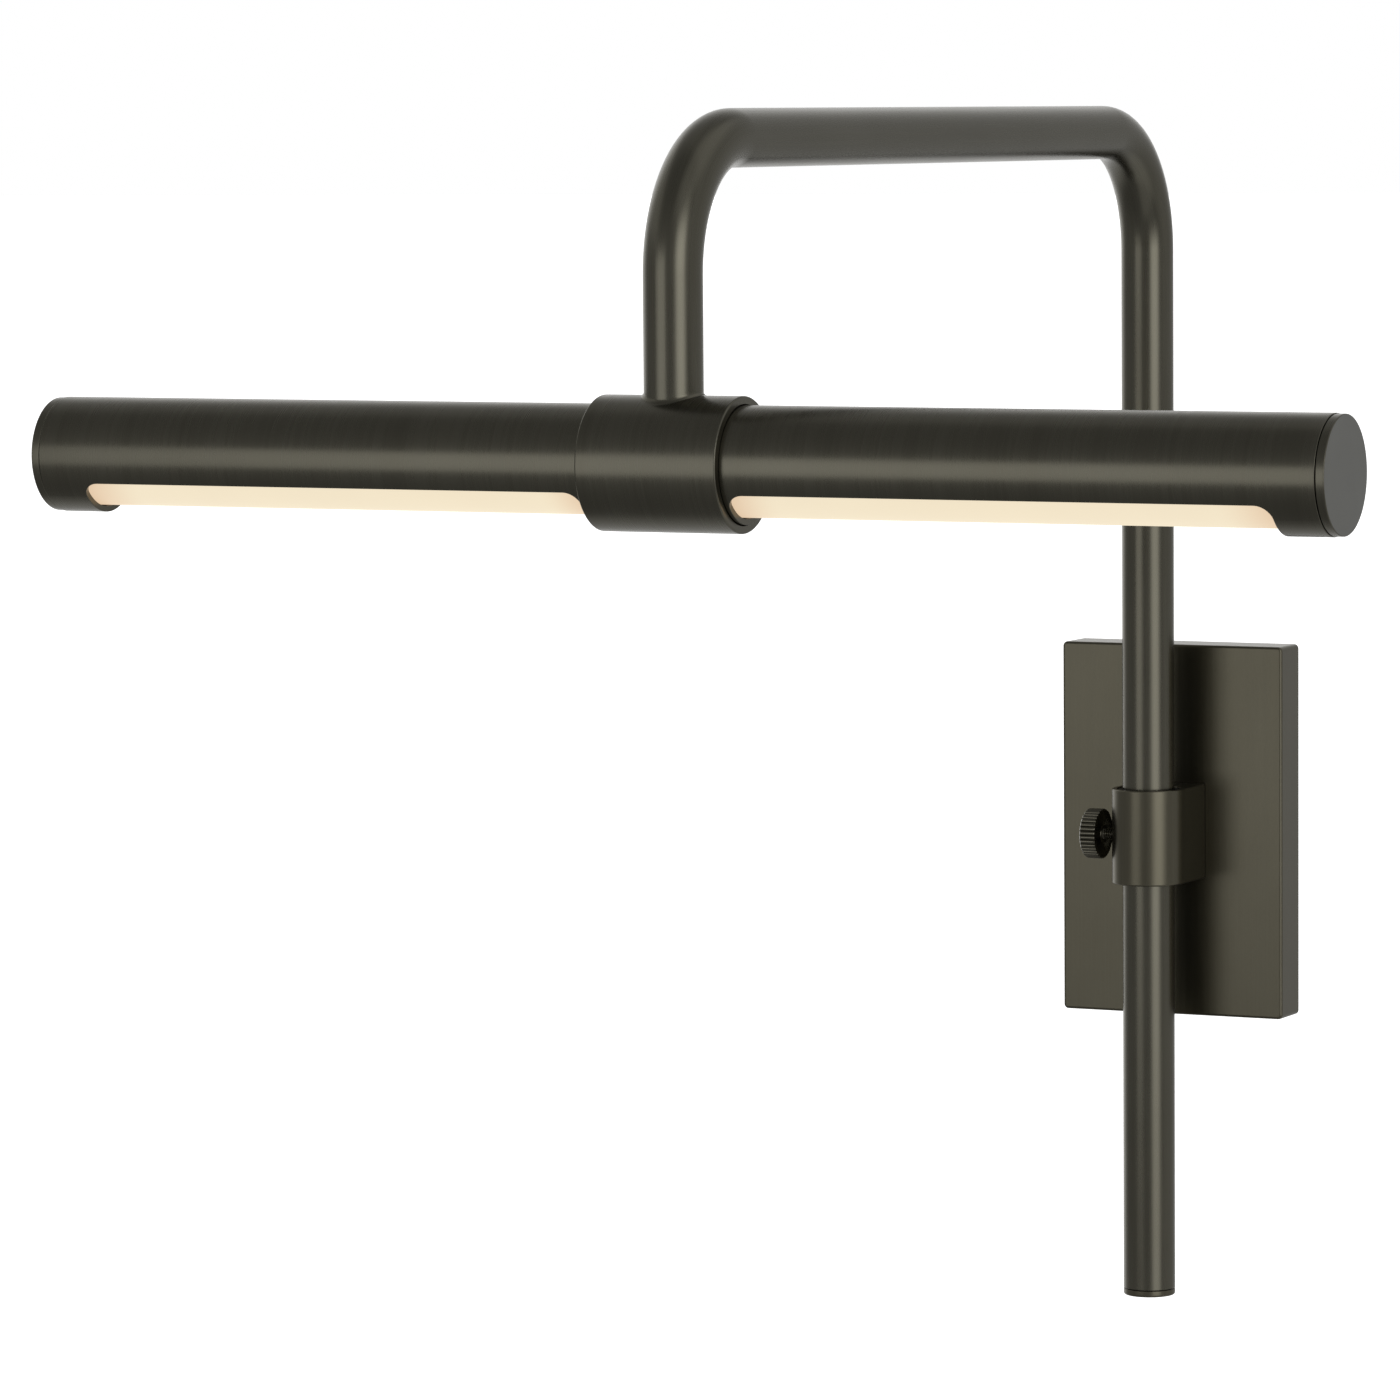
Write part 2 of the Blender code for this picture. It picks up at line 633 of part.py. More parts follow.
def light_tube(tilt_axis):
    """Outer tube: two light slots below, and a part-turn slot above for the guide nipple."""
    half = HALF_LIGHT - CAP_THICK - GAP
    tube = turned(tube_profile(LIGHT_R, TUBE_INNER_R, -half, half), "X", FINE)
    item = add_object("light_tube", tube, bronze(), tilt_axis)
    half_w = LIGHT_R * sin(SLOT_HALF_ANGLE)
    for side in (-1, 1):
        low, high = sorted((side * SLOT_IN, side * SLOT_OUT))
        outline = rounded_rectangle((low, -half_w), (high, half_w), SLOT_CORNER)
        light_slot = prism(outline, "Z", -2 * LIGHT_R, 0)
        boolean(item, add_object(f"cut_light_slot{side}", light_slot, None, tilt_axis))
    reach = TILT + asin((GUIDE_R + 0.5 * MM) / GUIDE_TIP)
    sector = arc(LIGHT_R + 1.5 * MM, pi / 2 - reach, pi / 2 + reach, 16)
    sector += arc(TUBE_INNER_R - 1.5 * MM, pi / 2 + reach, pi / 2 - reach, 16)
    tilt_slot = prism(sector, "X", -GUIDE_R - 0.4 * MM, GUIDE_R + 0.4 * MM)
    boolean(item, add_object("cut_tilt_slot", tilt_slot, None, tilt_axis))


def end_caps(tilt_axis):
    """Flat disc caps with a chamfered rim and a hollow spigot."""
    outer = HALF_LIGHT
    inner = HALF_LIGHT - CAP_THICK
    spigot_end = inner - 6 * MM
    spigot_r = TUBE_INNER_R - GAP
    profile = [
        (0, outer),
        (CAP_R - 0.4 * MM, outer),
        (CAP_R, outer - 0.4 * MM),
        (CAP_R, inner),
        (spigot_r, inner),
        (spigot_r, spigot_end),
        (spigot_r - 1.5 * MM, spigot_end),
        (spigot_r - 1.5 * MM, inner),
        (0, inner),
    ]
    for side, name in ((-1, "end_cap_left"), (1, "end_cap_right")):
        sided = [(radius, side * x) for radius, x in profile]
        add_object(name, turned(sided, "X", FINE), bronze(), tilt_axis)


def diffusers(tilt_axis):
    """Part-round opal covers inside the slots."""
    reach = SLOT_HALF_ANGLE + radians(6)
    wall = 1.4 * MM
    outline = arc(DIFFUSER_R, -pi / 2 - reach, -pi / 2 + reach, 28)
    outline += arc(DIFFUSER_R - wall, -pi / 2 + reach, -pi / 2 - reach, 28)
    for side, name in ((-1, "diffuser_left"), (1, "diffuser_right")):
        low, high = sorted((side * (SLOT_IN - 2.2 * MM), side * (SLOT_OUT + 2.2 * MM)))
        add_object(name, prism(outline, "X", low, high), opal(), tilt_axis)


def led_carrier(tilt_axis):
    """Aluminium carrier and heat sink, a channel with two fins, along the whole tube."""
    half = [
        (0, 0),
        (10.4 * MM, 0),
        (10.4 * MM, -3.6 * MM),
        (11.9 * MM, -3.6 * MM),
        (11.9 * MM, 2 * MM),
        (5.5 * MM, 2 * MM),
        (5.5 * MM, 12.5 * MM),
        (4 * MM, 12.5 * MM),
        (4 * MM, 2 * MM),
        (0, 2 * MM),
    ]
    outline = half[1:-1] + [(-y, z) for y, z in reversed(half[1:-1])]
    length = HALF_LIGHT - 9 * MM
    item = add_object("led_carrier", prism(outline, "X", -length, length), aluminium(), tilt_axis)
    hole = turned(rod_profile(LEAD_R + 0.6 * MM, -2 * MM, 4 * MM), "Z", COARSE)
    boolean(item, add_object("cut_carrier_hole", hole, None, tilt_axis))


def led_boards(tilt_axis):
    """Two LED strips under the carrier, one over each light slot."""
    for side, name in ((-1, "led_board_left"), (1, "led_board_right")):
        low, high = sorted((side * 3.2 * MM, side * 182 * MM))
        mesh = block((low, -6.5 * MM, -1.3 * MM), (high, 6.5 * MM, -GAP))
        strip = add_object(name, mesh, board(), tilt_axis)
        chips = bmesh.new()
        for i in range(LED_COUNT):
            centre = side * (9.5 * MM + i * LED_PITCH)
            bmesh.ops.create_cube(chips, size=1)
            bmesh.ops.scale(chips, vec=(2.8 * MM, 3.5 * MM, 0.9 * MM), verts=chips.verts[-8:])
            bmesh.ops.translate(chips, vec=(centre, 0, -1.55 * MM), verts=chips.verts[-8:])
        boolean(strip, add_object(f"join_chips{side}", chips, None, tilt_axis), "UNION")


def head_lead(tilt_axis):
    """Short lead from the guide nipple to the LED boards."""
    path = [(0, -1.5 * MM, 0), (0, GUIDE_TIP - 0.8 * MM, 0)]
    add_object("head_lead", swept(path, LEAD_R, count=10), rubber(), tilt_axis)


def main():
    clear_scene()
    wall = add_empty("wall_plane", (0, 0, 0))
    stem_axis = add_empty("stem_axis", (0, STEM_Y, 0))
    tilt_axis = add_empty("tilt_axis", (0, STEM_Y - REACH, LIGHT_Z))
    for make in (backplate, mounting_bracket, grub_screws, ground_screw, led_driver, terminal_block,
                 neck_fixings, driver_lead):
        make(wall)
    for make in (collar, collar_liner, thumb_screw, pressure_pad, stem_tube, stem_end_plug, stem_lead):
        make(stem_axis)
    for make in (head_sleeve, friction_rings, guide_nipple, light_tube, end_caps, diffusers, led_carrier,
                 led_boards, head_lead):
        make(tilt_axis)


main()
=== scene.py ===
from functools import reduce
from math import asin, atan2, cos, pi, radians, sin, sqrt, tan, tau

import bmesh
import bpy
from mathutils import Matrix, Vector


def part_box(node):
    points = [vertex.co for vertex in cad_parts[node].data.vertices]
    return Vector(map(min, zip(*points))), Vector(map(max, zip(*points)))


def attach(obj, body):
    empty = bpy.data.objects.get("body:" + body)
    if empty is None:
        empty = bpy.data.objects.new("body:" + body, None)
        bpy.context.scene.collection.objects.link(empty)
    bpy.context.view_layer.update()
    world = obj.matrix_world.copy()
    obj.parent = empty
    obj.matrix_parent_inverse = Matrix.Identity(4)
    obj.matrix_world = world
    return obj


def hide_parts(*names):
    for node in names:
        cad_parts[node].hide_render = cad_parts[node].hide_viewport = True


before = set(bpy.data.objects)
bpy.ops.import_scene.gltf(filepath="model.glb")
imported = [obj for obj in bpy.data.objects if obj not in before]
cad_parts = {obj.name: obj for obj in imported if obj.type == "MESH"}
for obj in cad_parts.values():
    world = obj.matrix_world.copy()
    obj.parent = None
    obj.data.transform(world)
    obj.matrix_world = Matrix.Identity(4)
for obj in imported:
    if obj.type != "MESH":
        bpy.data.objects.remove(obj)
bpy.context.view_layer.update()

MM = 0.001
WHITE = (1.0, 1.0, 1.0, 1.0)

# ---------------------------------------------------------------- places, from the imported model

stem_low, stem_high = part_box("stem_tube")
sleeve_low, sleeve_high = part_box("head_sleeve")
light_low, light_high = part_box("light_tube")
cap_low, cap_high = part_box("end_cap_right")
plate_low, plate_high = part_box("backplate")
collar_low, collar_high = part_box("collar")
knob_low, knob_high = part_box("thumb_screw")
plug_low, plug_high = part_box("stem_end_plug")
diffuser_low, diffuser_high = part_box("diffuser_right")

STEM_R = (stem_high[0] - stem_low[0]) / 2
STEM_Y = stem_high[1] - STEM_R
DROP_Y = stem_low[1] + STEM_R
ARM_Z = stem_high[2] - STEM_R
STEM_LOW = stem_low[2]
SLEEVE_R = (sleeve_high[2] - sleeve_low[2]) / 2
SLEEVE_HALF = (sleeve_high[0] - sleeve_low[0]) / 2
LIGHT_R = (light_high[2] - light_low[2]) / 2
LIGHT_Z = (light_high[2] + light_low[2]) / 2
CAP_OUT = cap_high[0]
CAP_IN = cap_low[0]
CAP_R = (cap_high[2] - cap_low[2]) / 2
COLLAR_R = (collar_high[0] - collar_low[0]) / 2
COLLAR_HALF = collar_high[2]
COLLAR_BACK = collar_high[1]
KNOB_R = (knob_high[2] - knob_low[2]) / 2
KNOB_OUTER_X = knob_low[0]
SCREW_TIP_X = knob_high[0]

# Sizes that a box doesn't give. The sleeve's bore, and the light slots' angle and corners, differ a
# little from the solids', for closer joins and rounder corners.
BEND_R = 37 * MM
STEM_WALL = 1.2 * MM
STEM_SLOT_HALF_W = 2.5 * MM
STEM_SLOT_HALF = 44 * MM
STEM_SLOT_CORNER = 1.1 * MM              # small, so that the liner's keys reach both ends of the slot
SLEEVE_BORE_R = 16.55 * MM
RING_GROOVE = (11.7 * MM, 14.3 * MM)     # a groove's two sides, from the sleeve's middle
RING_GROOVE_R = 17.9 * MM
LIGHT_WALL = 1.6 * MM
SLOT_FROM_SLEEVE = 1.2 * MM
SLOT_FROM_END = 15.7 * MM
SLOT_HALF_ANGLE = radians(62)
SLOT_CORNER = 4.8 * MM
TILT_SLOT_HALF = 3.7 * MM
TILT_SLOT_ANGLE = radians(60)
TILT_SLOT_CORNER = 1 * MM
CAP_THICK = 2.5 * MM
DIFFUSER_WALL = 1.4 * MM
PLATE_WALL = 1.6 * MM
NIPPLE_HOLE_R = 5.05 * MM
GRUB_HOLE_R = 2.25 * MM
GRUB_X = 12 * MM
GRUB_Y = -7 * MM
COLLAR_BORE_R = 10.05 * MM
SCREW_HOLE_R = 2.15 * MM
KNOB_THICK = 5.3 * MM
SCREW_R = 1.85 * MM

# Fine detail
SEAM = 0.15 * MM                         # between the light tube and an end cap
SPIGOT_GAP = 0.3 * MM                    # round a plug's or a cap's spigot
BRAZE_SINK = 0.1 * MM                    # how far the stem's end goes into the sleeve
KNOB_BOSS_R = 3 * MM
KNOB_FLUTES = 34
FLUTE_POINTS = 12
FLUTE_DEPTH = 0.55 * MM
SCREW_POINTS = KNOB_FLUTES * FLUTE_POINTS
SCREW_PITCH = 0.8 * MM
THREAD_DEPTH = 0.38 * MM
SHARP = 34.0                             # degrees between two faces, over which their edge stays sharp

FLOOR_HALF = 40.0
FLOOR_BELOW = 0.16                       # under the stem's foot


# ---------------------------------------------------------------- camera and studio

def add_object(name, data):
    item = bpy.data.objects.new(name, data)
    bpy.context.collection.objects.link(item)
    return item


def make_camera():
    """A long lens, a little to the right of the light and a little above it."""
    data = bpy.data.cameras.new("camera")
    data.sensor_width = 36
    data.lens = 178.33
    data.clip_start = 0.05
    data.clip_end = 200
    camera = add_object("camera", data)
    place = (0.83345, -2.07419, 0.22985)
    yaw, pitch, roll = radians(25.937), radians(4.821), radians(-0.433)
    forward = Vector((-sin(yaw) * cos(pitch), cos(yaw) * cos(pitch), -sin(pitch)))
    level = Vector((cos(yaw), sin(yaw), 0))
    upright = level.cross(forward)
    across = cos(roll) * level + sin(roll) * upright
    up = cos(roll) * upright - sin(roll) * level
    turn = Matrix((across, up, -forward)).transposed()
    camera.matrix_world = Matrix.Translation(place) @ turn.to_4x4()
    bpy.context.scene.camera = camera


class Nodes:
    """Short calls for building a node tree."""

    def __init__(self, tree):
        self.tree = tree
        self.tree.nodes.clear()

    def new(self, kind, **settings):
        node = self.tree.nodes.new(kind)
        for key, value in settings.items():
            setattr(node, key, value)
        return node

    def put(self, socket, value):
        if isinstance(value, bpy.types.NodeSocket):
            self.tree.links.new(value, socket)
        else:
            socket.default_value = value

    def math(self, operation, *values):
        node = self.new("ShaderNodeMath", operation=operation)
        for socket, value in zip(node.inputs, values):
            self.put(socket, value)
        return node.outputs[0]

    def times(self, *values):
        return reduce(lambda first, second: self.math("MULTIPLY", first, second), values)

    def plus(self, *values):
        return reduce(lambda first, second: self.math("ADD", first, second), values)

    def ramp(self, value, start, end, low=0.0, high=1.0):
        """A value eased from low to high while the input goes from start to end."""
        node = self.new("ShaderNodeMapRange", interpolation_type="SMOOTHSTEP")
        self.put(node.inputs["Value"], value)
        node.inputs["From Min"].default_value = start
        node.inputs["From Max"].default_value = end
        node.inputs["To Min"].default_value = low
        node.inputs["To Max"].default_value = high
        return node.outputs[0]

    def mix(self, factor, first, second):
        node = self.new("ShaderNodeMix", data_type="RGBA")
        self.put(node.inputs[0], factor)
        self.put(node.inputs[6], first)
        self.put(node.inputs[7], second)
        return node.outputs[2]


def band(nodes, angle, centre, width, soft):
    """1 within a band of angles and 0 outside, in degrees, with soft edges."""
    low = nodes.ramp(angle, centre - width / 2 - soft, centre - width / 2 + soft)
    high = nodes.ramp(angle, centre + width / 2 - soft, centre + width / 2 + soft, 1.0, 0.0)
    return nodes.times(low, high)


def room_light(nodes):
    """How bright the room is in each direction: azimuth 0 is in front of the wall, and 90 along +X."""
    ray = nodes.new("ShaderNodeSeparateXYZ")
    nodes.put(ray.inputs[0], nodes.new("ShaderNodeTexCoord").outputs["Generated"])
    forward = nodes.times(ray.outputs["Y"], -1.0)
    azimuth = nodes.math("DEGREES", nodes.math("ARCTAN2", ray.outputs["X"], forward))
    elevation = nodes.math("DEGREES", nodes.math("ARCSINE", ray.outputs["Z"]))
    full_turn = nodes.math("FLOORED_MODULO", azimuth, 360.0)

    dim_room = 0.19
    horizon = nodes.times(band(nodes, elevation, 0.0, 60.0, 25.0), 0.09)
    right_side = nodes.times(band(nodes, full_turn, 130.0, 80.0, 10.0), 0.15)
    behind = nodes.times(
        band(nodes, full_turn, 217.0, 74.0, 20.0),
        nodes.ramp(elevation, -32.0, -6.0, 0.35, 0.85),
        nodes.ramp(elevation, 8.0, 50.0, 1.0, 0.15),
        nodes.ramp(elevation, -80.0, -45.0),
    )
    across = band(nodes, azimuth, 54.0, 35.0, 8.0)
    softbox = nodes.times(across, band(nodes, elevation, 9.0, 42.0, 14.0), 1.75)

    # High and low on the right, and high on the far left: seen in the metal from the other sides
    steep = nodes.ramp(nodes.math("ABSOLUTE", elevation), 28.0, 46.0)
    right = nodes.times(nodes.ramp(ray.outputs["X"], 0.08, 0.3), steep)
    high = nodes.ramp(elevation, 8.0, 22.0)
    left = nodes.times(nodes.ramp(ray.outputs["X"], -0.74, -0.62, 1.0, 0.0), high)
    fill = nodes.times(nodes.math("MAXIMUM", right, left), 0.25)
    return nodes.plus(dim_room, horizon, right_side, behind, softbox, fill)


def make_studio():
    """White surroundings for the camera; for the metal, a dim room, one soft box and a pale wall behind."""
    world = bpy.data.worlds.new("studio")
    bpy.context.scene.world = world
    world.use_nodes = True
    nodes = Nodes(world.node_tree)
    lit = nodes.new("ShaderNodeBackground")
    lit.inputs["Color"].default_value = WHITE
    nodes.put(lit.inputs["Strength"], room_light(nodes))
    seen = nodes.new("ShaderNodeBackground")
    seen.inputs["Color"].default_value = WHITE
    seen.inputs["Strength"].default_value = 1.0
    choice = nodes.new("ShaderNodeMixShader")
    nodes.put(choice.inputs[0], nodes.new("ShaderNodeLightPath").outputs["Is Camera Ray"])
    nodes.put(choice.inputs[1], lit.outputs[0])
    nodes.put(choice.inputs[2], seen.outputs[0])
    output = nodes.new("ShaderNodeOutputWorld")
    nodes.put(output.inputs[0], choice.outputs[0])


def make_near_softbox():
    """The soft box to the left, near enough to shade off towards the wall plate."""
    data = bpy.data.lights.new("softbox", "AREA")
    data.shape = "RECTANGLE"
    data.size = 0.88
    data.size_y = 0.84
    data.energy = 2.1    # watts
    softbox = add_object("softbox", data)
    place = Vector((-0.56, -1.76, 0.13))
    aim = Vector((0, -0.3, 0.12)) - place
    softbox.matrix_world = Matrix.Translation(place) @ aim.to_track_quat("-Z", "Y").to_matrix().to_4x4()
    softbox.visible_camera = False


def make_floor():
    """White paper, well below the light. It lights nothing, and from below it can be seen through."""
    mesh = bpy.data.meshes.new("floor")
    half = FLOOR_HALF
    height = plug_low[2] - FLOOR_BELOW
    corners = [(-half, -half, height), (half, -half, height), (half, half, height), (-half, half, height)]
    mesh.from_pydata(corners, [], [(0, 1, 2, 3)])
    floor = add_object("floor", mesh)
    finish, nodes = new_material("white_paper")
    shader = nodes.new("ShaderNodeBsdfPrincipled")
    shader.inputs["Base Color"].default_value = (0.85, 0.85, 0.85, 1)
    shader.inputs["Roughness"].default_value = 0.9
    shader.inputs["Emission Color"].default_value = WHITE
    shader.inputs["Emission Strength"].default_value = 1.0
    choice = nodes.new("ShaderNodeMixShader")
    nodes.put(choice.inputs[0], nodes.new("ShaderNodeNewGeometry").outputs["Backfacing"])
    nodes.put(choice.inputs[1], shader.outputs[0])
    nodes.put(choice.inputs[2], nodes.new("ShaderNodeBsdfTransparent").outputs[0])
    show_surface(nodes, choice)
    mesh.materials.append(finish)
    floor.visible_glossy = False
    floor.visible_diffuse = False


def make_view():
    """Plain colours, with no film look."""
    scene = bpy.context.scene
    scene.view_settings.view_transform = "Standard"
    scene.view_settings.look = "None"
    scene.view_settings.exposure = 0
    scene.view_settings.gamma = 1


# ---------------------------------------------------------------- materials

def noise(nodes, vector, scale, detail=2.0, rough=0.5):
    node = nodes.new("ShaderNodeTexNoise")
    nodes.put(node.inputs["Vector"], vector)
    node.inputs["Scale"].default_value = scale
    node.inputs["Detail"].default_value = detail
    node.inputs["Roughness"].default_value = rough
    return node.outputs["Fac"]


def scaled(nodes, vector, scale):
    node = nodes.new("ShaderNodeMapping")
    nodes.put(node.inputs["Vector"], vector)
    node.inputs["Scale"].default_value = scale
    return node.outputs[0]


def new_material(name):
    """A material with an empty node tree, and the short calls for filling it."""
    made = bpy.data.materials.new(name)
    made.use_nodes = True
    return made, Nodes(made.node_tree)


def show_surface(nodes, shader):
    output = nodes.new("ShaderNodeOutputMaterial")
    nodes.put(output.inputs[0], shader.outputs[0])


def add_bump(nodes, shader, height, strength, distance):
    bump = nodes.new("ShaderNodeBump")
    bump.inputs["Strength"].default_value = strength
    bump.inputs["Distance"].default_value = distance
    nodes.put(bump.inputs["Height"], height)
    nodes.put(shader.inputs["Normal"], bump.outputs[0])


def two_tones(nodes, value, dark, light):
    """A colour that goes from dark to light with a noise."""
    return nodes.mix(nodes.ramp(value, 0.3, 0.7), (*dark, 1), (*light, 1))


def object_place(nodes):
    return nodes.new("ShaderNodeTexCoord").outputs["Object"]


def round_place(nodes, radius):
    """Place on a tube whose UVs are length and turns: round a circle and along it, with no seam."""
    uv = nodes.new("ShaderNodeUVMap", uv_map="UVMap").outputs[0]
    split = nodes.new("ShaderNodeSeparateXYZ")
    nodes.put(split.inputs[0], uv)
    angle = nodes.times(split.outputs["Y"], tau)
    join = nodes.new("ShaderNodeCombineXYZ")
    nodes.put(join.inputs["X"], nodes.times(nodes.math("COSINE", angle), radius))
    nodes.put(join.inputs["Y"], nodes.times(nodes.math("SINE", angle), radius))
    nodes.put(join.inputs["Z"], split.outputs["X"])
    return join.outputs[0]


def bronze(name, stretch, tube_radius=None, tint=(1.0, 1.0, 1.0), rough=0.27):
    """Dark plated metal, brushed. The brushing runs the way where stretch is small.

    On a tube, given its radius, stretch is across, across and along; otherwise it is x, y and z.
    """
    made, nodes = new_material(name)
    place = object_place(nodes) if tube_radius is None else round_place(nodes, tube_radius)
    broad = noise(nodes, scaled(nodes, place, [part * 0.2 for part in stretch]), 1.0, 2.0, 0.5)
    lines = noise(nodes, scaled(nodes, place, stretch), 1.0, 3.0, 0.6)
    fine = noise(nodes, scaled(nodes, place, [part * 2.5 for part in stretch]), 1.0, 1.0, 0.5)
    cloud = noise(nodes, place, 28.0, 3.0, 0.55)

    shader = nodes.new("ShaderNodeBsdfPrincipled")
    dark = [part * share for part, share in zip((0.124, 0.117, 0.091), tint)]
    light = [part * share for part, share in zip((0.144, 0.137, 0.108), tint)]
    streaks = nodes.plus(nodes.times(lines, 0.6), nodes.times(broad, 0.4))
    blend = nodes.plus(nodes.times(streaks, 0.65), nodes.times(cloud, 0.35))
    nodes.put(shader.inputs["Base Color"], two_tones(nodes, blend, dark, light))
    shader.inputs["Metallic"].default_value = 0.96
    nodes.put(shader.inputs["Roughness"], nodes.ramp(streaks, 0.3, 0.7, rough - 0.02, rough + 0.025))
    height = nodes.plus(lines, nodes.times(fine, 0.3))
    add_bump(nodes, shader, height, 0.2, 0.003 * MM)
    show_surface(nodes, shader)
    return made


def plain_metal(name, dark, light, rough_low, rough_high, stretch=(700, 700, 700)):
    """A plated or turned small part: two close tones, fine grain and a few rubbed patches."""
    made, nodes = new_material(name)
    place = object_place(nodes)
    grain = noise(nodes, scaled(nodes, place, stretch), 1.0, 3.0, 0.6)
    patches = noise(nodes, place, 90.0, 3.0, 0.6)
    shader = nodes.new("ShaderNodeBsdfPrincipled")
    nodes.put(shader.inputs["Base Color"], two_tones(nodes, patches, dark, light))
    shader.inputs["Metallic"].default_value = 1.0
    nodes.put(shader.inputs["Roughness"], nodes.ramp(grain, 0.3, 0.7, rough_low, rough_high))
    add_bump(nodes, shader, grain, 0.3, 0.02 * MM)
    show_surface(nodes, shader)
    return made


def moulded(name, dark, light, rough_low, rough_high):
    """Moulded plastic or rubber, with a fine spark-eroded grain."""
    made, nodes = new_material(name)
    place = object_place(nodes)
    grain = noise(nodes, place, 1400.0, 2.0, 0.6)
    cloud = noise(nodes, place, 60.0, 2.0, 0.5)
    shader = nodes.new("ShaderNodeBsdfPrincipled")
    nodes.put(shader.inputs["Base Color"], two_tones(nodes, cloud, dark, light))
    nodes.put(shader.inputs["Roughness"], nodes.ramp(grain, 0.3, 0.7, rough_low, rough_high))
    add_bump(nodes, shader, grain, 0.25, 0.03 * MM)
    show_surface(nodes, shader)
    return made


def opal(name):
    """Opal acrylic, lit from behind by the LEDs: creamy in the middle and warmer near its ends."""
    made, nodes = new_material(name)
    uv = nodes.new("ShaderNodeUVMap", uv_map="UVMap").outputs[0]
    split = nodes.new("ShaderNodeSeparateXYZ")
    nodes.put(split.inputs[0], uv)
    along = split.outputs["X"]
    near_start = nodes.ramp(along, 0.0, 0.10, 1.0, 0.0)
    near_end = nodes.ramp(along, 0.88, 1.0)
    ends = nodes.math("MAXIMUM", near_start, near_end)
    glow = nodes.mix(ends, (0.83, 0.72, 0.53, 1), (0.74, 0.55, 0.375, 1))
    haze = noise(nodes, object_place(nodes), 45.0, 2.0, 0.5)
    shader = nodes.new("ShaderNodeBsdfPrincipled")
    nodes.put(shader.inputs["Base Color"], two_tones(nodes, haze, (0.15, 0.14, 0.12), (0.18, 0.17, 0.14)))
    shader.inputs["Roughness"].default_value = 0.5
    shader.inputs["Specular IOR Level"].default_value = 0.3
    nodes.put(shader.inputs["Emission Color"], glow)
    shader.inputs["Emission Strength"].default_value = 1.0
    show_surface(nodes, shader)
    return made


# ---------------------------------------------------------------- mesh helpers

def rounded(outline, radii, steps=4):
    """A closed outline with its corners rounded. A radius of 0 keeps a corner sharp."""
    result = []
    count = len(outline)
    for i, (point, radius) in enumerate(zip(outline, radii)):
        corner = Vector(point)
        if radius == 0:
            result.append(tuple(corner))
            continue
        before = (Vector(outline[i - 1]) - corner).normalized()
        after = (Vector(outline[(i + 1) % count]) - corner).normalized()
        half = before.angle(after) / 2
        tangent = radius / tan(half)
        centre = corner + (before + after).normalized() * (radius / sin(half))
        start = corner + before * tangent - centre
        end = corner + after * tangent - centre
        sweep = atan2(start.x * end.y - start.y * end.x, start.dot(end))
        for k in range(steps + 1):
            angle = sweep * k / steps
            x = start.x * cos(angle) - start.y * sin(angle)
            y = start.x * sin(angle) + start.y * cos(angle)
            result.append((centre.x + x, centre.y + y))
    return result


def about(axis, centre, radius, height, angle):
    """A point at a radius, height and angle about an axis through a centre."""
    x, y, z = centre
    if axis == "X":
        return Vector((x + height, y + radius * cos(angle), z + radius * sin(angle)))
    if axis == "Y":
        return Vector((x + radius * sin(angle), y + height, z + radius * cos(angle)))
    return Vector((x + radius * cos(angle), y + radius * sin(angle), z + height))


def quarter_turn(steps):
    """(1 - sin, 1 - cos) at even steps through a quarter turn, for rounding an edge."""
    angles = [pi / 2 * k / steps for k in range(steps + 1)]
    return [(1 - sin(angle), 1 - cos(angle)) for angle in angles]


class Shape:
    """A bmesh with UVs, built from rings of points."""

    def __init__(self):
        self.mesh = bmesh.new()
        self.uv = self.mesh.loops.layers.uv.new("UVMap")

    def verts(self, points):
        return [self.mesh.verts.new(point) for point in points]

    def face(self, verts, uvs=None):
        unique = []
        kept = []
        for k, vert in enumerate(verts):
            if vert not in unique:
                unique.append(vert)
                kept.append(k)
        if len(unique) < 3:
            return None
        face = self.mesh.faces.new(unique)
        if uvs:
            for loop, k in zip(face.loops, kept):
                loop[self.uv].uv = uvs[k]
        return face

    def skin(self, lower, upper, low_u=0.0, high_u=1.0):
        """Faces between two closed rings. UVs are (given, turns)."""
        count = max(len(lower), len(upper))
        for i in range(count):
            j = (i + 1) % count
            verts = [lower[i % len(lower)], lower[j % len(lower)]]
            verts += [upper[j % len(upper)], upper[i % len(upper)]]
            turn, turned = i / count, (i + 1) / count
            self.face(verts, [(low_u, turn), (low_u, turned), (high_u, turned), (high_u, turn)])

    def to_data(self, name):
        """The finished mesh, with its normals outward."""
        bmesh.ops.recalc_face_normals(self.mesh, faces=self.mesh.faces)
        data = bpy.data.meshes.new(name)
        self.mesh.to_mesh(data)
        self.mesh.free()
        return data

    def piece(self, name, finish, body, replaced=(), slot=None, sharp=SHARP):
        """Close up as an object that rides on a body."""
        item = finish_piece(self.to_data(name), name, finish, body, replaced, sharp)
        weigh_normals(item)
        return item


def smooth_faces(data, sharp=SHARP):
    data.shade_smooth()
    data.set_sharp_from_angle(angle=radians(sharp))


def weigh_normals(item, weight=100):
    modifier = item.modifiers.new("weighted", "WEIGHTED_NORMAL")
    modifier.keep_sharp = True
    modifier.weight = weight


def finish_piece(data, name, finish, body, replaced, sharp):
    """An object with its material, that rides on a body and stands for the replaced nodes."""
    smooth_faces(data, sharp)
    data.materials.clear()
    data.materials.append(finish)
    item = add_object(name, data)
    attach(item, body)
    if replaced:
        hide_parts(*replaced)
    return item


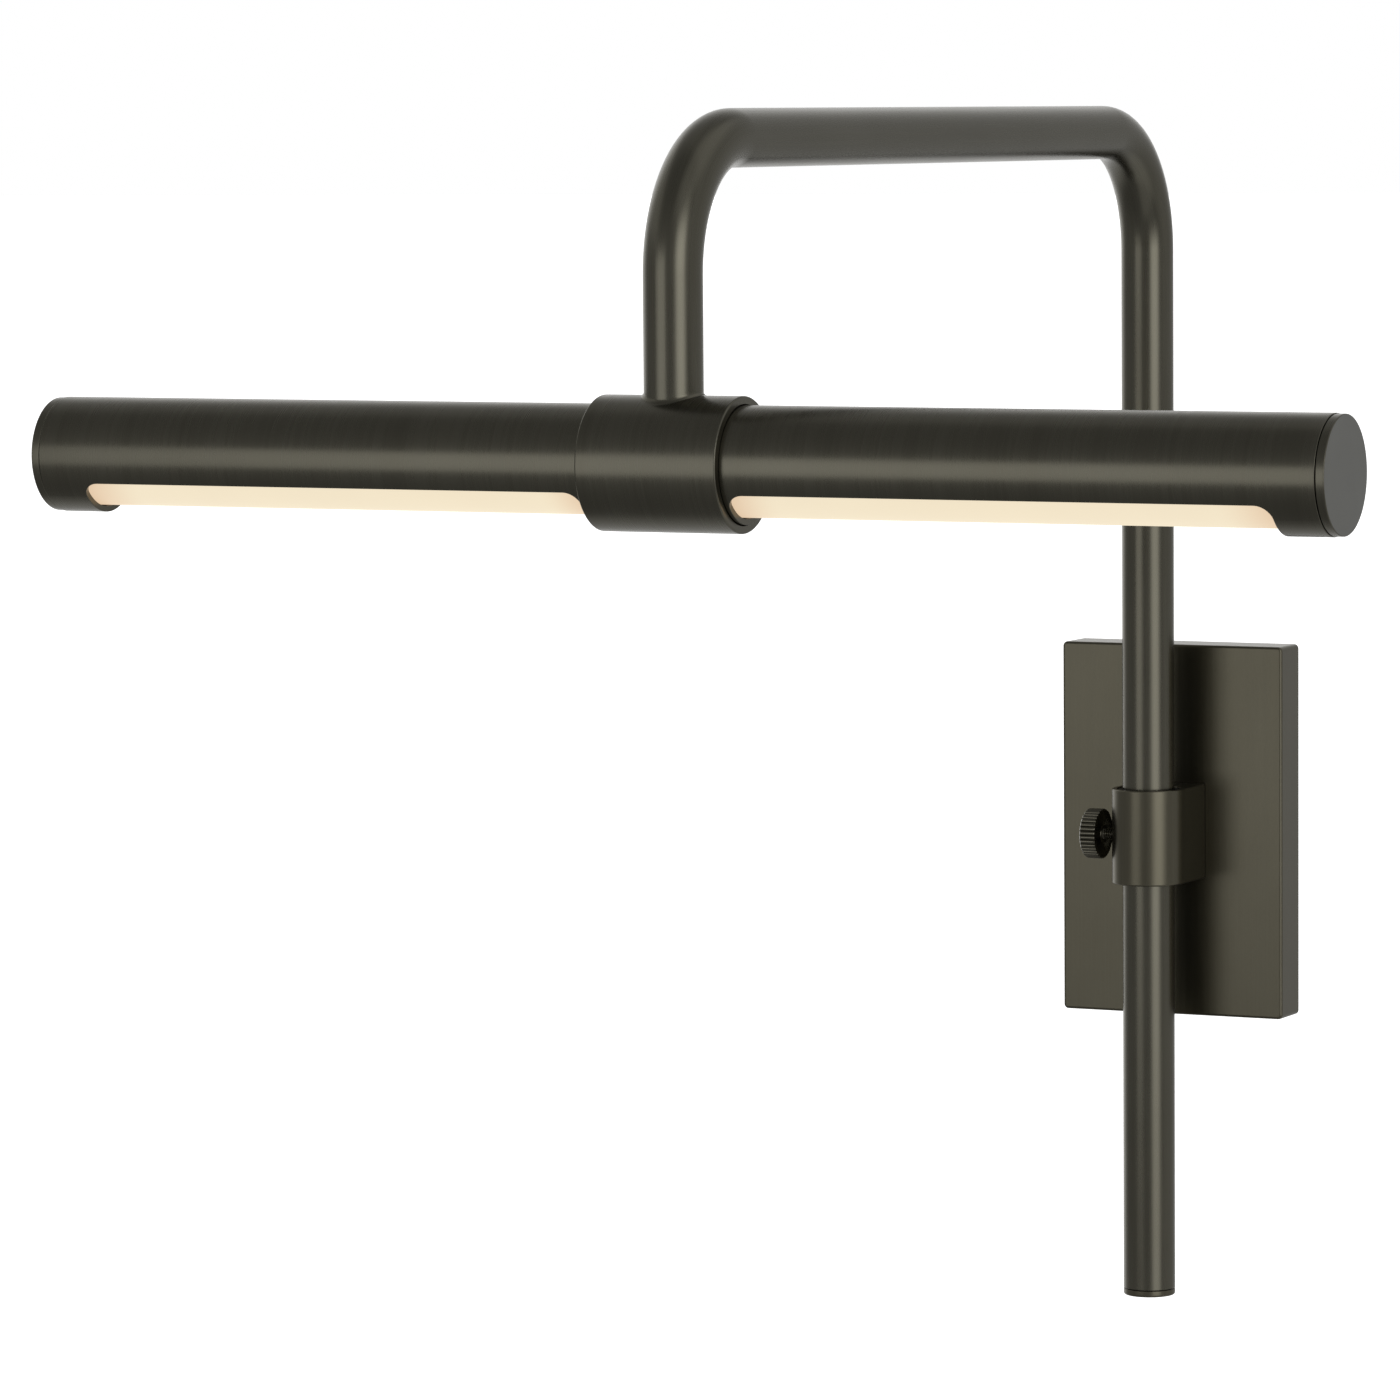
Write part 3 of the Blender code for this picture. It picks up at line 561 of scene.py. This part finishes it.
def lathe(section, axis, centre, count=128):
    """A closed section of (radius, height) points turned about an axis. Radius 0 is a pole."""
    shape = Shape()
    rings = []
    lengths = [0.0]
    for before, after in zip(section, section[1:]):
        lengths.append(lengths[-1] + (Vector(after) - Vector(before)).length)
    for radius, height in section:
        angles = [0.0] if radius <= 0 else [tau * i / count for i in range(count)]
        rings.append(shape.verts([about(axis, centre, radius, height, angle) for angle in angles]))
    lengths.append(lengths[-1] + 1 * MM)
    for k, lower in enumerate(rings):
        upper = rings[(k + 1) % len(rings)]
        if max(len(lower), len(upper)) > 1:
            shape.skin(lower, upper, lengths[k], lengths[k + 1])
    return shape


def cut(item, cutters):
    """Take the cutters away from a piece, and smooth its new mesh."""
    for cutter in cutters:
        modifier = item.modifiers.new("cut", "BOOLEAN")
        modifier.operation = "DIFFERENCE"
        modifier.solver = "EXACT"
        modifier.object = cutter
    graph = bpy.context.evaluated_depsgraph_get()
    data = bpy.data.meshes.new_from_object(item.evaluated_get(graph), depsgraph=graph)
    item.modifiers.clear()
    item.data = data
    for cutter in cutters:
        bpy.data.objects.remove(cutter, do_unlink=True)
    smooth_faces(item.data)
    weigh_normals(item)


def cutting_rod(axis, centre, radius, low, high, count=48):
    shape = lathe([(0, low), (radius, low), (radius, high), (0, high)], axis, centre, count)
    return add_object("cutter", shape.to_data("cutter"))


class Window:
    """An opening in a tube's wall: a length and an angle range, with rounded corners."""

    def __init__(self, low, high, start, end, corner, radius):
        self.centre = ((low + high) / 2, (start + end) / 2)
        self.half = ((high - low) / 2, (end - start) / 2)
        self.corner = (corner, corner / radius)
        self.radius = radius

    def grid_lines(self, steps=7):
        """Lengths and angles that pass through the corners' arcs."""
        lines = []
        for k in (0, 1):
            inner = self.half[k] - self.corner[k]
            marks = [inner + self.corner[k] * sin(pi / 2 * i / steps) for i in range(steps + 1)]
            lines.append([self.centre[k] + side * mark for mark in marks for side in (-1, 1)])
        return lines

    def corner_bands(self, k):
        """The two ranges of lengths, or of angles, that hold the corners' arcs."""
        inner = self.half[k] - self.corner[k]
        centre, half = self.centre[k], self.half[k]
        return (centre - half, centre - inner), (centre + inner, centre + half)

    def beyond(self, along, angle):
        """Less than 0 inside the opening, 0 on its rim, more outside."""
        parts = []
        for k, value in enumerate((along, angle)):
            inner = self.half[k] - self.corner[k]
            parts.append(max(abs(value - self.centre[k]) - inner, 0.0) / self.corner[k])
        return sqrt(parts[0] ** 2 + parts[1] ** 2) - 1

    def inward(self, along, angle):
        """From a point on the rim, the direction into the opening, in metres."""
        away = []
        for k, value in enumerate((along, angle)):
            offset = value - self.centre[k]
            inner = self.half[k] - self.corner[k]
            part = max(abs(offset) - inner, 0.0) / self.corner[k]
            away.append(-part if offset > 0 else part)
        return Vector(away).normalized()


def grid(special, others, least, bands):
    """The special values, and the others that are clear of them and of the corners' bands."""
    kept = []
    same = 1e-7
    for value in special:
        if all(abs(value - other) > same for other in kept):
            kept.append(value)
    spans = [span for pair in bands for span in pair]
    for value in others:
        near = any(abs(value - other) < least for other in special)
        if not near and not any(low < value < high for low, high in spans):
            kept.append(value)
    return sorted(kept)


def pierced_tube(place, length, radius, wall, windows, edge, along_marks, count):
    """A tube with openings, whose rims are rounded by edge.

    place(along, angle, depth) gives a point, depth 0 being outside.
    """
    shape = Shape()
    low, high = length
    special = [[low + edge, high - edge], []]
    for window in windows:
        for lines, more in zip(special, window.grid_lines()):
            lines += more
    evenly = [tau * i / count for i in range(count)]
    alongs = grid(special[0], along_marks, 0.4 * MM, [window.corner_bands(0) for window in windows])
    angles = grid(special[1], evenly, 0.012, [window.corner_bands(1) for window in windows])

    def beyond(along, angle):
        return min((window.beyond(along, angle) for window in windows), default=1.0)

    points = {}
    for i, along in enumerate(alongs):
        for j, angle in enumerate(angles):
            points[i, j] = (along, angle, beyond(along, angle))
    outer, inner, rims = {}, {}, {}
    on_rim = 1e-5

    def rim_direction(along, angle, gap):
        if abs(gap) < on_rim:
            nearest = min(windows, key=lambda window: abs(window.beyond(along, angle)))
            return nearest.inward(along, angle)
        if along == alongs[0]:
            return Vector((-1, 0))
        if along == alongs[-1]:
            return Vector((1, 0))
        return None

    for key, (along, angle, gap) in points.items():
        if gap < -on_rim:
            continue
        outer[key] = shape.mesh.verts.new(place(along, angle, 0.0))
        inward = rim_direction(along, angle, gap)
        if inward is None:
            inner[key] = shape.mesh.verts.new(place(along, angle, wall))
            continue
        rim = [outer[key]]
        profile = [(edge - edge * rise, edge * run) for rise, run in quarter_turn(4)[1:]] + [(edge, wall)]
        for out, depth in profile:
            point = place(along + inward.x * out, angle + inward.y * out / radius, depth)
            rim.append(shape.mesh.verts.new(point))
        inner[key] = rim[-1]
        rims[key] = rim

    edges = {}

    def add_cell(keys, uvs):
        shape.face([outer[key] for key in keys], uvs)
        shape.face([inner[key] for key in reversed(keys)], list(reversed(uvs)))
        for k, key in enumerate(keys):
            other = keys[(k + 1) % len(keys)]
            pair = frozenset((key, other))
            edges.setdefault(pair, []).append((key, other, uvs[k], uvs[(k + 1) % len(keys)]))

    for i, (start, end) in enumerate(zip(alongs, alongs[1:])):
        for j, (first, last) in enumerate(zip(angles, angles[1:] + [angles[0] + tau])):
            after = (j + 1) % len(angles)
            keys = [(i, j), (i + 1, j), (i + 1, after), (i, after)]
            uvs = [(start, first / tau), (end, first / tau), (end, last / tau), (start, last / tau)]
            gaps = [points[key][2] for key in keys]
            middle = beyond((start + end) / 2, (first + last) / 2)
            kept = [k for k in range(4) if gaps[k] > -on_rim]
            if min(gaps) < -on_rim and max(gaps) > on_rim and len(kept) == 3:
                add_cell([keys[k] for k in kept], [uvs[k] for k in kept])
            elif middle > 0 and len(kept) == 4:
                add_cell(keys, uvs)

    for entries in edges.values():
        if len(entries) == 1:
            first, second, uv_a, uv_b = entries[0]
            near, far = rims[first], rims[second]
            for k in range(len(near) - 1):
                shape.face([near[k], far[k], far[k + 1], near[k + 1]], [uv_a, uv_b, uv_b, uv_a])
    loose = [vert for vert in shape.mesh.verts if not vert.link_faces]
    bmesh.ops.delete(shape.mesh, geom=loose, context="VERTS")
    return shape


# ---------------------------------------------------------------- stem and sleeve

def stem_marks():
    """Lengths along the stem's centre line where its straights and bends start and end."""
    bend = BEND_R * pi / 2
    bend_z = ARM_Z - BEND_R
    up = bend_z - STEM_LOW
    over = STEM_Y - DROP_Y - 2 * BEND_R
    down = bend_z - (LIGHT_Z + SLEEVE_R)
    marks = [0.0]
    for part in (up, bend, over, bend, down):
        marks.append(marks[-1] + part)
    return marks


def stem_point(along, angle, depth):
    """A point on the stem. Angle 0 is +X, and a quarter turn is the side away from the bends' centres."""
    marks = stem_marks()
    radius = STEM_R - depth
    bend_z = ARM_Z - BEND_R
    side = radius * sin(angle)
    x = radius * cos(angle)
    if along <= marks[1]:
        return Vector((x, STEM_Y + side, STEM_LOW + along))
    if along <= marks[2]:
        heading = (along - marks[1]) / BEND_R
        centre = (STEM_Y - BEND_R, bend_z)
    elif along <= marks[3]:
        return Vector((x, STEM_Y - BEND_R - (along - marks[2]), ARM_Z + side))
    elif along <= marks[4]:
        heading = pi / 2 + (along - marks[3]) / BEND_R
        centre = (DROP_Y + BEND_R, bend_z)
    else:
        share = (along - marks[4]) / (marks[5] - marks[4])
        bottom = LIGHT_Z + sqrt((SLEEVE_R - BRAZE_SINK) ** 2 - side ** 2)
        return Vector((x, DROP_Y - side, bend_z + (bottom - bend_z) * share))
    out = BEND_R + side
    return Vector((x, centre[0] + out * cos(heading), centre[1] + out * sin(heading)))


def make_stem(finish):
    """The bent tube, with the slot at the back for its lead and the liner's keys."""
    marks = stem_marks()
    along_marks = marks[1:5]
    for start, end, steps in zip(marks, marks[1:], (12, 24, 8, 24, 4)):
        along_marks += [start + (end - start) * k / steps for k in range(1, steps)]
    middle, back = -STEM_LOW, pi / 2
    turn = asin(STEM_SLOT_HALF_W / STEM_R)
    slot = Window(middle - STEM_SLOT_HALF, middle + STEM_SLOT_HALF, back - turn, back + turn,
                  STEM_SLOT_CORNER, STEM_R)
    edge = 0.15 * MM
    shape = pierced_tube(stem_point, (0.0, marks[5]), STEM_R, STEM_WALL, [slot], edge, along_marks, 96)
    shape.piece("bent_stem", finish, "stem", ["stem_tube"], "bronze_steel")


def make_braze(finish):
    """The smooth fillet of braze where the stem meets the sleeve."""
    shape = Shape()
    count = 96
    steps = 8
    size = 1.3 * MM
    sunk = 0.4 * MM
    rings = [[] for _ in range(steps + 3)]
    for i in range(count):
        angle = tau * i / count

        def sleeve_top(radius):
            return sqrt(SLEEVE_R ** 2 - (radius * sin(angle)) ** 2)

        def at(radius, height):
            return Vector((radius * cos(angle), DROP_Y + radius * sin(angle), LIGHT_Z + height))

        corner = Vector((STEM_R, sleeve_top(STEM_R)))
        top = corner + Vector((0, size))
        foot = Vector((STEM_R + size, sleeve_top(STEM_R + size)))
        for k in range(steps + 1):
            t = k / steps
            point = top * (1 - t) ** 2 + corner * (2 * t * (1 - t)) + foot * t ** 2
            rings[k].append(at(point.x, point.y))
        rings[steps + 1].append(at(STEM_R + size * 0.9, sleeve_top(STEM_R + size) - sunk))
        rings[steps + 2].append(at(STEM_R - sunk, top.y - 0.05 * MM))
    loops = [shape.verts(ring) for ring in rings]
    apart = 0.3 * MM
    for k, lower in enumerate(loops):
        shape.skin(lower, loops[(k + 1) % len(loops)], k * apart, (k + 1) * apart)
    shape.piece("braze_fillet", finish, "stem", (), "bronze_steel", 50.0)


def make_sleeve(finish):
    """The sleeve round the light tube, with a groove in its bore for each friction ring."""
    low, high = RING_GROOVE
    outline = [(SLEEVE_BORE_R, -SLEEVE_HALF), (SLEEVE_R, -SLEEVE_HALF)]
    outline += [(SLEEVE_R, SLEEVE_HALF), (SLEEVE_BORE_R, SLEEVE_HALF)]
    radii = [0.12 * MM, 0.5 * MM, 0.5 * MM, 0.12 * MM]
    for first, last in ((high, low), (-low, -high)):
        outline += [(SLEEVE_BORE_R, first), (RING_GROOVE_R, first)]
        outline += [(RING_GROOVE_R, last), (SLEEVE_BORE_R, last)]
        radii += [0, 0, 0, 0]
    shape = lathe(rounded(outline, radii), "X", (0, DROP_Y, LIGHT_Z), 160)
    shape.piece("tilt_sleeve", finish, "stem", ["head_sleeve"], "bronze_steel")


def make_stem_plug(finish):
    """A turned plug: a flange as wide as the stem, and a spigot inside it."""
    low, high = plug_low[2], plug_high[2]
    spigot = STEM_R - STEM_WALL - SPIGOT_GAP
    flange = low + 2 * MM
    outline = [(0, low), (STEM_R, low), (STEM_R, flange), (spigot, flange), (spigot, high), (0, high)]
    radii = [0, 0.7 * MM, 0.15 * MM, 0, 0.3 * MM, 0]
    shape = lathe(rounded(outline, radii, 5), "Z", (0, STEM_Y, 0), 96)
    shape.piece("stem_foot_plug", finish, "stem", ["stem_end_plug"], "bronze_aluminium")


# ---------------------------------------------------------------- light head

def make_light_tube(finish):
    """A tube with a light slot below at each side, and the tilt slot on top."""
    inner_end = SLEEVE_HALF + SLOT_FROM_SLEEVE
    outer_end = CAP_OUT - SLOT_FROM_END
    top = pi / 2
    bottom = 3 * pi / 2
    turn = TILT_SLOT_ANGLE
    edge = 0.2 * MM
    reach = SLOT_HALF_ANGLE + edge / LIGHT_R
    windows = [
        Window(-outer_end - edge, -inner_end + edge, bottom - reach, bottom + reach, SLOT_CORNER, LIGHT_R),
        Window(inner_end - edge, outer_end + edge, bottom - reach, bottom + reach, SLOT_CORNER, LIGHT_R),
        Window(-TILT_SLOT_HALF, TILT_SLOT_HALF, top - turn, top + turn, TILT_SLOT_CORNER, LIGHT_R),
    ]

    def place(along, angle, depth):
        return about("X", (0, DROP_Y, LIGHT_Z), LIGHT_R - depth, along, angle)

    end = CAP_OUT - CAP_THICK - SEAM
    marks = [end * k / 20 for k in range(-19, 20)]
    shape = pierced_tube(place, (-end, end), LIGHT_R, LIGHT_WALL, windows, edge, marks, 144)
    shape.piece("slotted_light_tube", finish, "light_head", ["light_tube"], "bronze_aluminium")


def make_end_cap(side, finish, painted_light_face):
    """A turned cap with a hollow spigot. Its outer face takes a lighter, cooler copy of the bronze: a
    painted brighter reflection.
    """
    seat = CAP_OUT - CAP_THICK
    spigot = LIGHT_R - LIGHT_WALL - SPIGOT_GAP
    wall = spigot - 1.5 * MM
    outline = [(0, CAP_OUT), (CAP_R, CAP_OUT), (CAP_R, seat), (spigot, seat), (spigot, CAP_IN)]
    outline += [(wall, CAP_IN), (wall, seat), (0, seat)]
    radii = [0, 0.3 * MM, 0.3 * MM, 0, 0.4 * MM, 0.2 * MM, 0.3 * MM, 0]
    section = [(radius, side * height) for radius, height in rounded(outline, radii)]
    shape = lathe(section, "X", (0, DROP_Y, LIGHT_Z), 144)
    name = "left" if side < 0 else "right"
    item = shape.piece(f"cap_{name}", finish, "light_head", [f"end_cap_{name}"], "bronze_aluminium")
    # The flat outer face gets the lighter, cooler copy of the bronze: a painted brighter reflection
    item.data.materials.append(painted_light_face)
    for polygon in item.data.polygons:
        if side * polygon.normal.x > 0.95:
            polygon.material_index = 1


def make_diffuser(side, finish):
    """A part-round opal cover with closed ends. Its first UV runs from the sleeve to the end cap."""
    radius = LIGHT_Z - diffuser_low[2]
    reach = SLOT_HALF_ANGLE + radians(6)
    across, lengths = 48, 40
    outer = [(radius, -pi / 2 - reach + 2 * reach * k / across) for k in range(across + 1)]
    inner = [(radius - DIFFUSER_WALL, angle) for _, angle in reversed(outer)]
    outline = [(r * cos(angle), r * sin(angle)) for r, angle in outer + inner]
    low, high = sorted((side * diffuser_low[0], side * diffuser_high[0]))
    shape = Shape()
    rings = []
    for k in range(lengths + 1):
        x = low + (high - low) * k / lengths
        rings.append(shape.verts([(x, DROP_Y + y, LIGHT_Z + z) for y, z in outline]))
    for k in range(lengths):
        first, last = k / lengths, (k + 1) / lengths
        if side < 0:
            first, last = 1 - first, 1 - last
        shape.skin(rings[k], rings[k + 1], first, last)
    shape.face(list(reversed(rings[0])), [(0.0, 0.0)] * len(outline))
    shape.face(rings[-1], [(1.0, 0.0)] * len(outline))
    name = "left" if side < 0 else "right"
    shape.piece(f"opal_cover_{name}", finish, "light_head", [f"diffuser_{name}"], "diffuser")


# ---------------------------------------------------------------- wall plate, collar and thumb screw

def plate_ring(inset, y, radius):
    """A ring round the wall plate, in from its sides, with corners of a radius."""
    steps = 6
    points = []
    for k, (side_x, side_z) in enumerate(((1, 1), (-1, 1), (-1, -1), (1, -1))):
        centre_x = side_x * (plate_high[0] - inset - radius)
        centre_z = side_z * (plate_high[2] - inset - radius)
        for i in range(steps + 1):
            angle = (k + i / steps) * pi / 2
            points.append((centre_x + radius * cos(angle), y, centre_z + radius * sin(angle)))
    return points


def make_backplate(finish):
    """A pressed pan with rounded edges, open towards the wall, with holes in its face and lower side."""
    front = plate_low[1]
    edge, inner_edge = 0.9 * MM, 0.5 * MM
    corner, least_corner, inner_corner = 1.5 * MM, 0.3 * MM, 0.6 * MM
    arc = quarter_turn(6)
    shape = Shape()
    section = [(0.0, 0.0)] + [(edge * run, front + edge * rise) for rise, run in arc]
    outer = [shape.verts(plate_ring(inset, y, max(corner - inset, least_corner))) for inset, y in section]
    inner_front = front + PLATE_WALL
    section = [(0.0, 0.0)] + [(inner_edge * run, inner_front + inner_edge * rise) for rise, run in arc]
    inner = [shape.verts(plate_ring(PLATE_WALL + inset, y, inner_corner)) for inset, y in section]
    for chain in (outer, inner):
        for lower, upper in zip(chain, chain[1:]):
            shape.skin(lower, upper)
    shape.skin(outer[0], inner[0])
    shape.face(outer[-1])
    shape.face(inner[-1])
    item = shape.piece("wall_plate", finish, "wall_mount", ["backplate"], "bronze_steel")
    cutters = [cutting_rod("Y", (0, 0, 0), NIPPLE_HOLE_R, front - 3 * MM, front + 5 * MM)]
    bottom = plate_low[2]
    for side in (-1, 1):
        centre = (side * GRUB_X, GRUB_Y, 0)
        cutters.append(cutting_rod("Z", centre, GRUB_HOLE_R, bottom - 3 * MM, bottom + 2.6 * MM, 32))
    cut(item, cutters)


def collar_loop(inset, z):
    """A loop round the collar: half round in front, straight sides and a square back."""
    front_steps, side_steps = 72, 10
    radius = COLLAR_R - inset
    back = COLLAR_BACK - STEM_Y
    points = []
    for k in range(front_steps + 1):
        angle = -pi + pi * k / front_steps
        points.append((radius * cos(angle), STEM_Y + radius * sin(angle), z))
    for k in range(1, side_steps + 1):
        points.append((radius, STEM_Y + back * k / side_steps, z))
    for k in range(1, side_steps):
        points.append((radius * cos(pi * k / side_steps), COLLAR_BACK, z))
    for k in range(side_steps, 0, -1):
        points.append((-radius, STEM_Y + back * k / side_steps, z))
    return points


def bore_loop(radius, z):
    """A round loop in the collar's bore, each point facing its own point of the outer loop."""
    angles = [atan2(y - STEM_Y, x) for x, y, _ in collar_loop(0.0, z)]
    return [(radius * cos(angle), STEM_Y + radius * sin(angle), z) for angle in angles]


def make_collar(finish):
    """Clamp block with softened edges, a bore for the liner, and holes for the screw and the lead."""
    top = COLLAR_HALF
    edge, bore_edge = 0.5 * MM, 0.35 * MM
    arc = quarter_turn(4)
    loops = [collar_loop(edge * rise, -top + edge * run) for rise, run in arc]
    loops += [collar_loop(edge * run, top - edge * rise) for rise, run in arc]
    loops += [bore_loop(COLLAR_BORE_R + bore_edge * rise, top - bore_edge * run) for rise, run in arc]
    loops += [bore_loop(COLLAR_BORE_R + bore_edge * run, -top + bore_edge * rise) for rise, run in arc]
    shape = Shape()
    rings = [shape.verts(loop) for loop in loops]
    for k, lower in enumerate(rings):
        shape.skin(lower, rings[(k + 1) % len(rings)])
    item = shape.piece("clamp_collar", finish, "wall_mount", ["collar"], "bronze_aluminium")
    axis = (0, STEM_Y, 0)
    into_bore = COLLAR_BORE_R - 2 * MM
    screw_hole = cutting_rod("X", axis, SCREW_HOLE_R, -COLLAR_R - 3 * MM, -into_bore, 40)
    lead_hole = cutting_rod("Y", axis, NIPPLE_HOLE_R, into_bore, COLLAR_BACK - STEM_Y + 3 * MM)
    cut(item, [screw_hole, lead_hole])


def screw_ring(x, radius_at):
    """A ring about the thumb screw's axis, with a radius for each of its points."""
    points = []
    for i in range(SCREW_POINTS):
        angle = tau * i / SCREW_POINTS
        radius = radius_at(i)
        points.append((x, STEM_Y + radius * cos(angle), radius * sin(angle)))
    return points


def plain_ring(x, radius):
    return screw_ring(x, lambda i: radius)


def fluted_ring(x, limit):
    """Round ridges with sharp valleys between them, no farther out than a limit."""
    half_ridge = pi * KNOB_R / KNOB_FLUTES
    ridge_r = (half_ridge ** 2 + FLUTE_DEPTH ** 2) / (2 * FLUTE_DEPTH)

    def radius_at(i):
        across = half_ridge * (2 * (i % FLUTE_POINTS) / FLUTE_POINTS - 1)
        fall = ridge_r - sqrt(ridge_r ** 2 - across ** 2)
        return min(KNOB_R - fall, limit)

    return screw_ring(x, radius_at)


def threaded_ring(x, share):
    """One slice of a helical thread, of which a share of the full depth is cut."""
    def radius_at(i):
        phase = (x / SCREW_PITCH - i / SCREW_POINTS) % 1
        groove = 1 - abs(2 * phase - 1)
        return SCREW_R - THREAD_DEPTH * share * min(max(1.35 * groove - 0.15, 0), 1)

    return screw_ring(x, radius_at)


def make_thumb_screw(finish):
    """A straight-knurled head with chamfered rims, and a real helical thread on its shank."""
    outer_x = KNOB_OUTER_X
    inner_x = outer_x + KNOB_THICK
    chamfer, break_edge = 0.7 * MM, 0.15 * MM
    rim = KNOB_R - chamfer
    valley = KNOB_R - FLUTE_DEPTH
    rings = [[(outer_x, STEM_Y, 0)]]
    rings += [plain_ring(outer_x, radius) for radius in (2.0 * MM, 4.2 * MM, 5.6 * MM, rim - 0.25 * MM)]
    for k in range(9):
        rings.append(fluted_ring(outer_x + chamfer * k / 8, rim + chamfer * sin(pi / 2 * k / 8)))
    for k in range(1, 5):
        rings.append(fluted_ring(outer_x + chamfer + (KNOB_THICK - chamfer - break_edge) * k / 4, KNOB_R))
    rings.append(fluted_ring(inner_x, KNOB_R - break_edge))
    for x, radius in (
        (inner_x, valley - 0.05 * MM),
        (inner_x, valley - 0.35 * MM),
        (inner_x, KNOB_BOSS_R + 0.15 * MM),
        (inner_x + 0.12 * MM, KNOB_BOSS_R),
        (inner_x + 0.3 * MM, KNOB_BOSS_R - 0.12 * MM),
        (inner_x + 0.32 * MM, SCREW_R + 0.05 * MM),
    ):
        rings.append(plain_ring(x, radius))
    start, end = inner_x + 0.5 * MM, SCREW_TIP_X
    x = start
    while x < end - 0.15 * MM:
        lead_in = (x - start) / (0.6 * MM)
        run_out = (end - x) / (0.5 * MM)
        rings.append(threaded_ring(x, min(lead_in, run_out, 1.0)))
        x += SCREW_PITCH / 10
    rings.append(plain_ring(end, SCREW_R - 0.3 * MM))
    rings.append([(end, STEM_Y, 0)])
    shape = Shape()
    loops = [shape.verts(ring) for ring in rings]
    for lower, upper in zip(loops, loops[1:]):
        shape.skin(lower, upper)
    shape.piece("knurled_screw", finish, "thumb_screw", ["thumb_screw"], "bronze_steel", 40.0)


# ---------------------------------------------------------------- parts that keep their solid's shape

def refine(node, name, finish, width, body="wall_mount"):
    """A copy of a solid with its sharp edges eased, for a part seen only from behind or through a gap."""
    mesh = bmesh.new()
    mesh.from_mesh(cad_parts[node].data)
    bmesh.ops.remove_doubles(mesh, verts=mesh.verts, dist=1e-6)
    bmesh.ops.dissolve_limit(mesh, angle_limit=radians(0.4), verts=mesh.verts, edges=mesh.edges)
    data = bpy.data.meshes.new(name)
    mesh.to_mesh(data)
    mesh.free()
    item = finish_piece(data, name, finish, body, [node], SHARP)
    bevel = item.modifiers.new("eased", "BEVEL")
    bevel.width = width
    bevel.segments = 2
    bevel.limit_method = "ANGLE"
    bevel.angle_limit = radians(40)
    bevel.harden_normals = False
    weigh_normals(item, 50)


def make_small_parts():
    """The parts that keep their solid's shape: some with eased edges, and some as they are."""
    zinc = plain_metal("zinc_plated", (0.52, 0.53, 0.52), (0.64, 0.64, 0.61), 0.28, 0.42)
    brass = plain_metal("turned_brass", (0.60, 0.42, 0.17), (0.72, 0.53, 0.24), 0.22, 0.34)
    green = plain_metal("green_zinc", (0.03, 0.20, 0.08), (0.05, 0.28, 0.11), 0.3, 0.45)
    drawn_along_x = (60, 900, 900)
    extruded = plain_metal("extruded_aluminium", (0.66, 0.67, 0.68), (0.74, 0.74, 0.75), 0.3, 0.42,
                           drawn_along_x)
    nylon = moulded("black_nylon", (0.016, 0.016, 0.016), (0.028, 0.028, 0.027), 0.42, 0.56)
    rubber = moulded("black_rubber", (0.012, 0.012, 0.012), (0.022, 0.022, 0.021), 0.68, 0.85)
    white = moulded("white_housing", (0.70, 0.70, 0.67), (0.78, 0.78, 0.75), 0.38, 0.5)
    board = moulded("white_board", (0.78, 0.78, 0.74), (0.84, 0.84, 0.80), 0.35, 0.5)
    for node, name, finish, slot, width in (
        ("mounting_bracket", "wall_strap", zinc, "steel", 0.35 * MM),
        ("grub_screw_left", "plate_screw_left", zinc, "steel", 0.1 * MM),
        ("grub_screw_right", "plate_screw_right", zinc, "steel", 0.1 * MM),
        ("ground_screw", "earth_screw", green, "earth_screw", 0.2 * MM),
        ("led_driver", "driver_case", white, "white_plastic", 0.5 * MM),
        ("terminal_block", "wire_connector", white, "white_plastic", 0.3 * MM),
        ("fixing_nipple", "hollow_nipple", brass, "brass", 0.15 * MM),
        ("lock_washer", "star_washer", zinc, "steel", 0.1 * MM),
        ("hex_nut", "nipple_nut", brass, "brass", 0.3 * MM),
        ("locating_pin", "dowel", zinc, "steel", 0.1 * MM),
    ):
        refine(node, name, finish, width)
    refine("led_carrier", "heat_sink", extruded, 0.2 * MM, "light_head")
    for finish, names in (
        (nylon, ("collar_liner", "pressure_pad")),
        (rubber, ("driver_lead", "stem_lead", "head_lead", "friction_ring_left", "friction_ring_right")),
        (board, ("led_board_left", "led_board_right")),
        (brass, ("guide_nipple",)),
    ):
        for name in names:
            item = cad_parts[name]
            item.data.materials.clear()
            item.data.materials.append(finish)


# ---------------------------------------------------------------- the whole

def main():
    make_camera()
    make_studio()
    make_near_softbox()
    make_floor()
    make_view()

    stem_bronze = bronze("bronze_stem", (900, 900, 22), STEM_R)
    tube_bronze = bronze("bronze_round_x", (700, 22, 22))
    plate_bronze = bronze("bronze_upright", (1500, 1500, 30), tint=(1.0, 0.98, 0.92), rough=0.31)
    # The caps' outer faces: the tube's bronze made lighter and cooler, painted to stand in for the brighter
    # reflection they catch
    cap_face_painted_light = bronze("bronze_cap_face_painted_light", (60, 120, 120), tint=(1.5, 1.58, 1.84), rough=0.31)
    make_stem(stem_bronze)
    make_braze(tube_bronze)
    make_sleeve(tube_bronze)
    make_stem_plug(plate_bronze)
    make_light_tube(tube_bronze)
    for side in (-1, 1):
        make_end_cap(side, tube_bronze, cap_face_painted_light)
        make_diffuser(side, opal("opal_left" if side < 0 else "opal_right"))
    make_backplate(plate_bronze)
    make_collar(plate_bronze)
    make_thumb_screw(bronze("bronze_knurl", (60, 250, 250), rough=0.14))
    make_small_parts()


main()
bpy.context.view_layer.update()
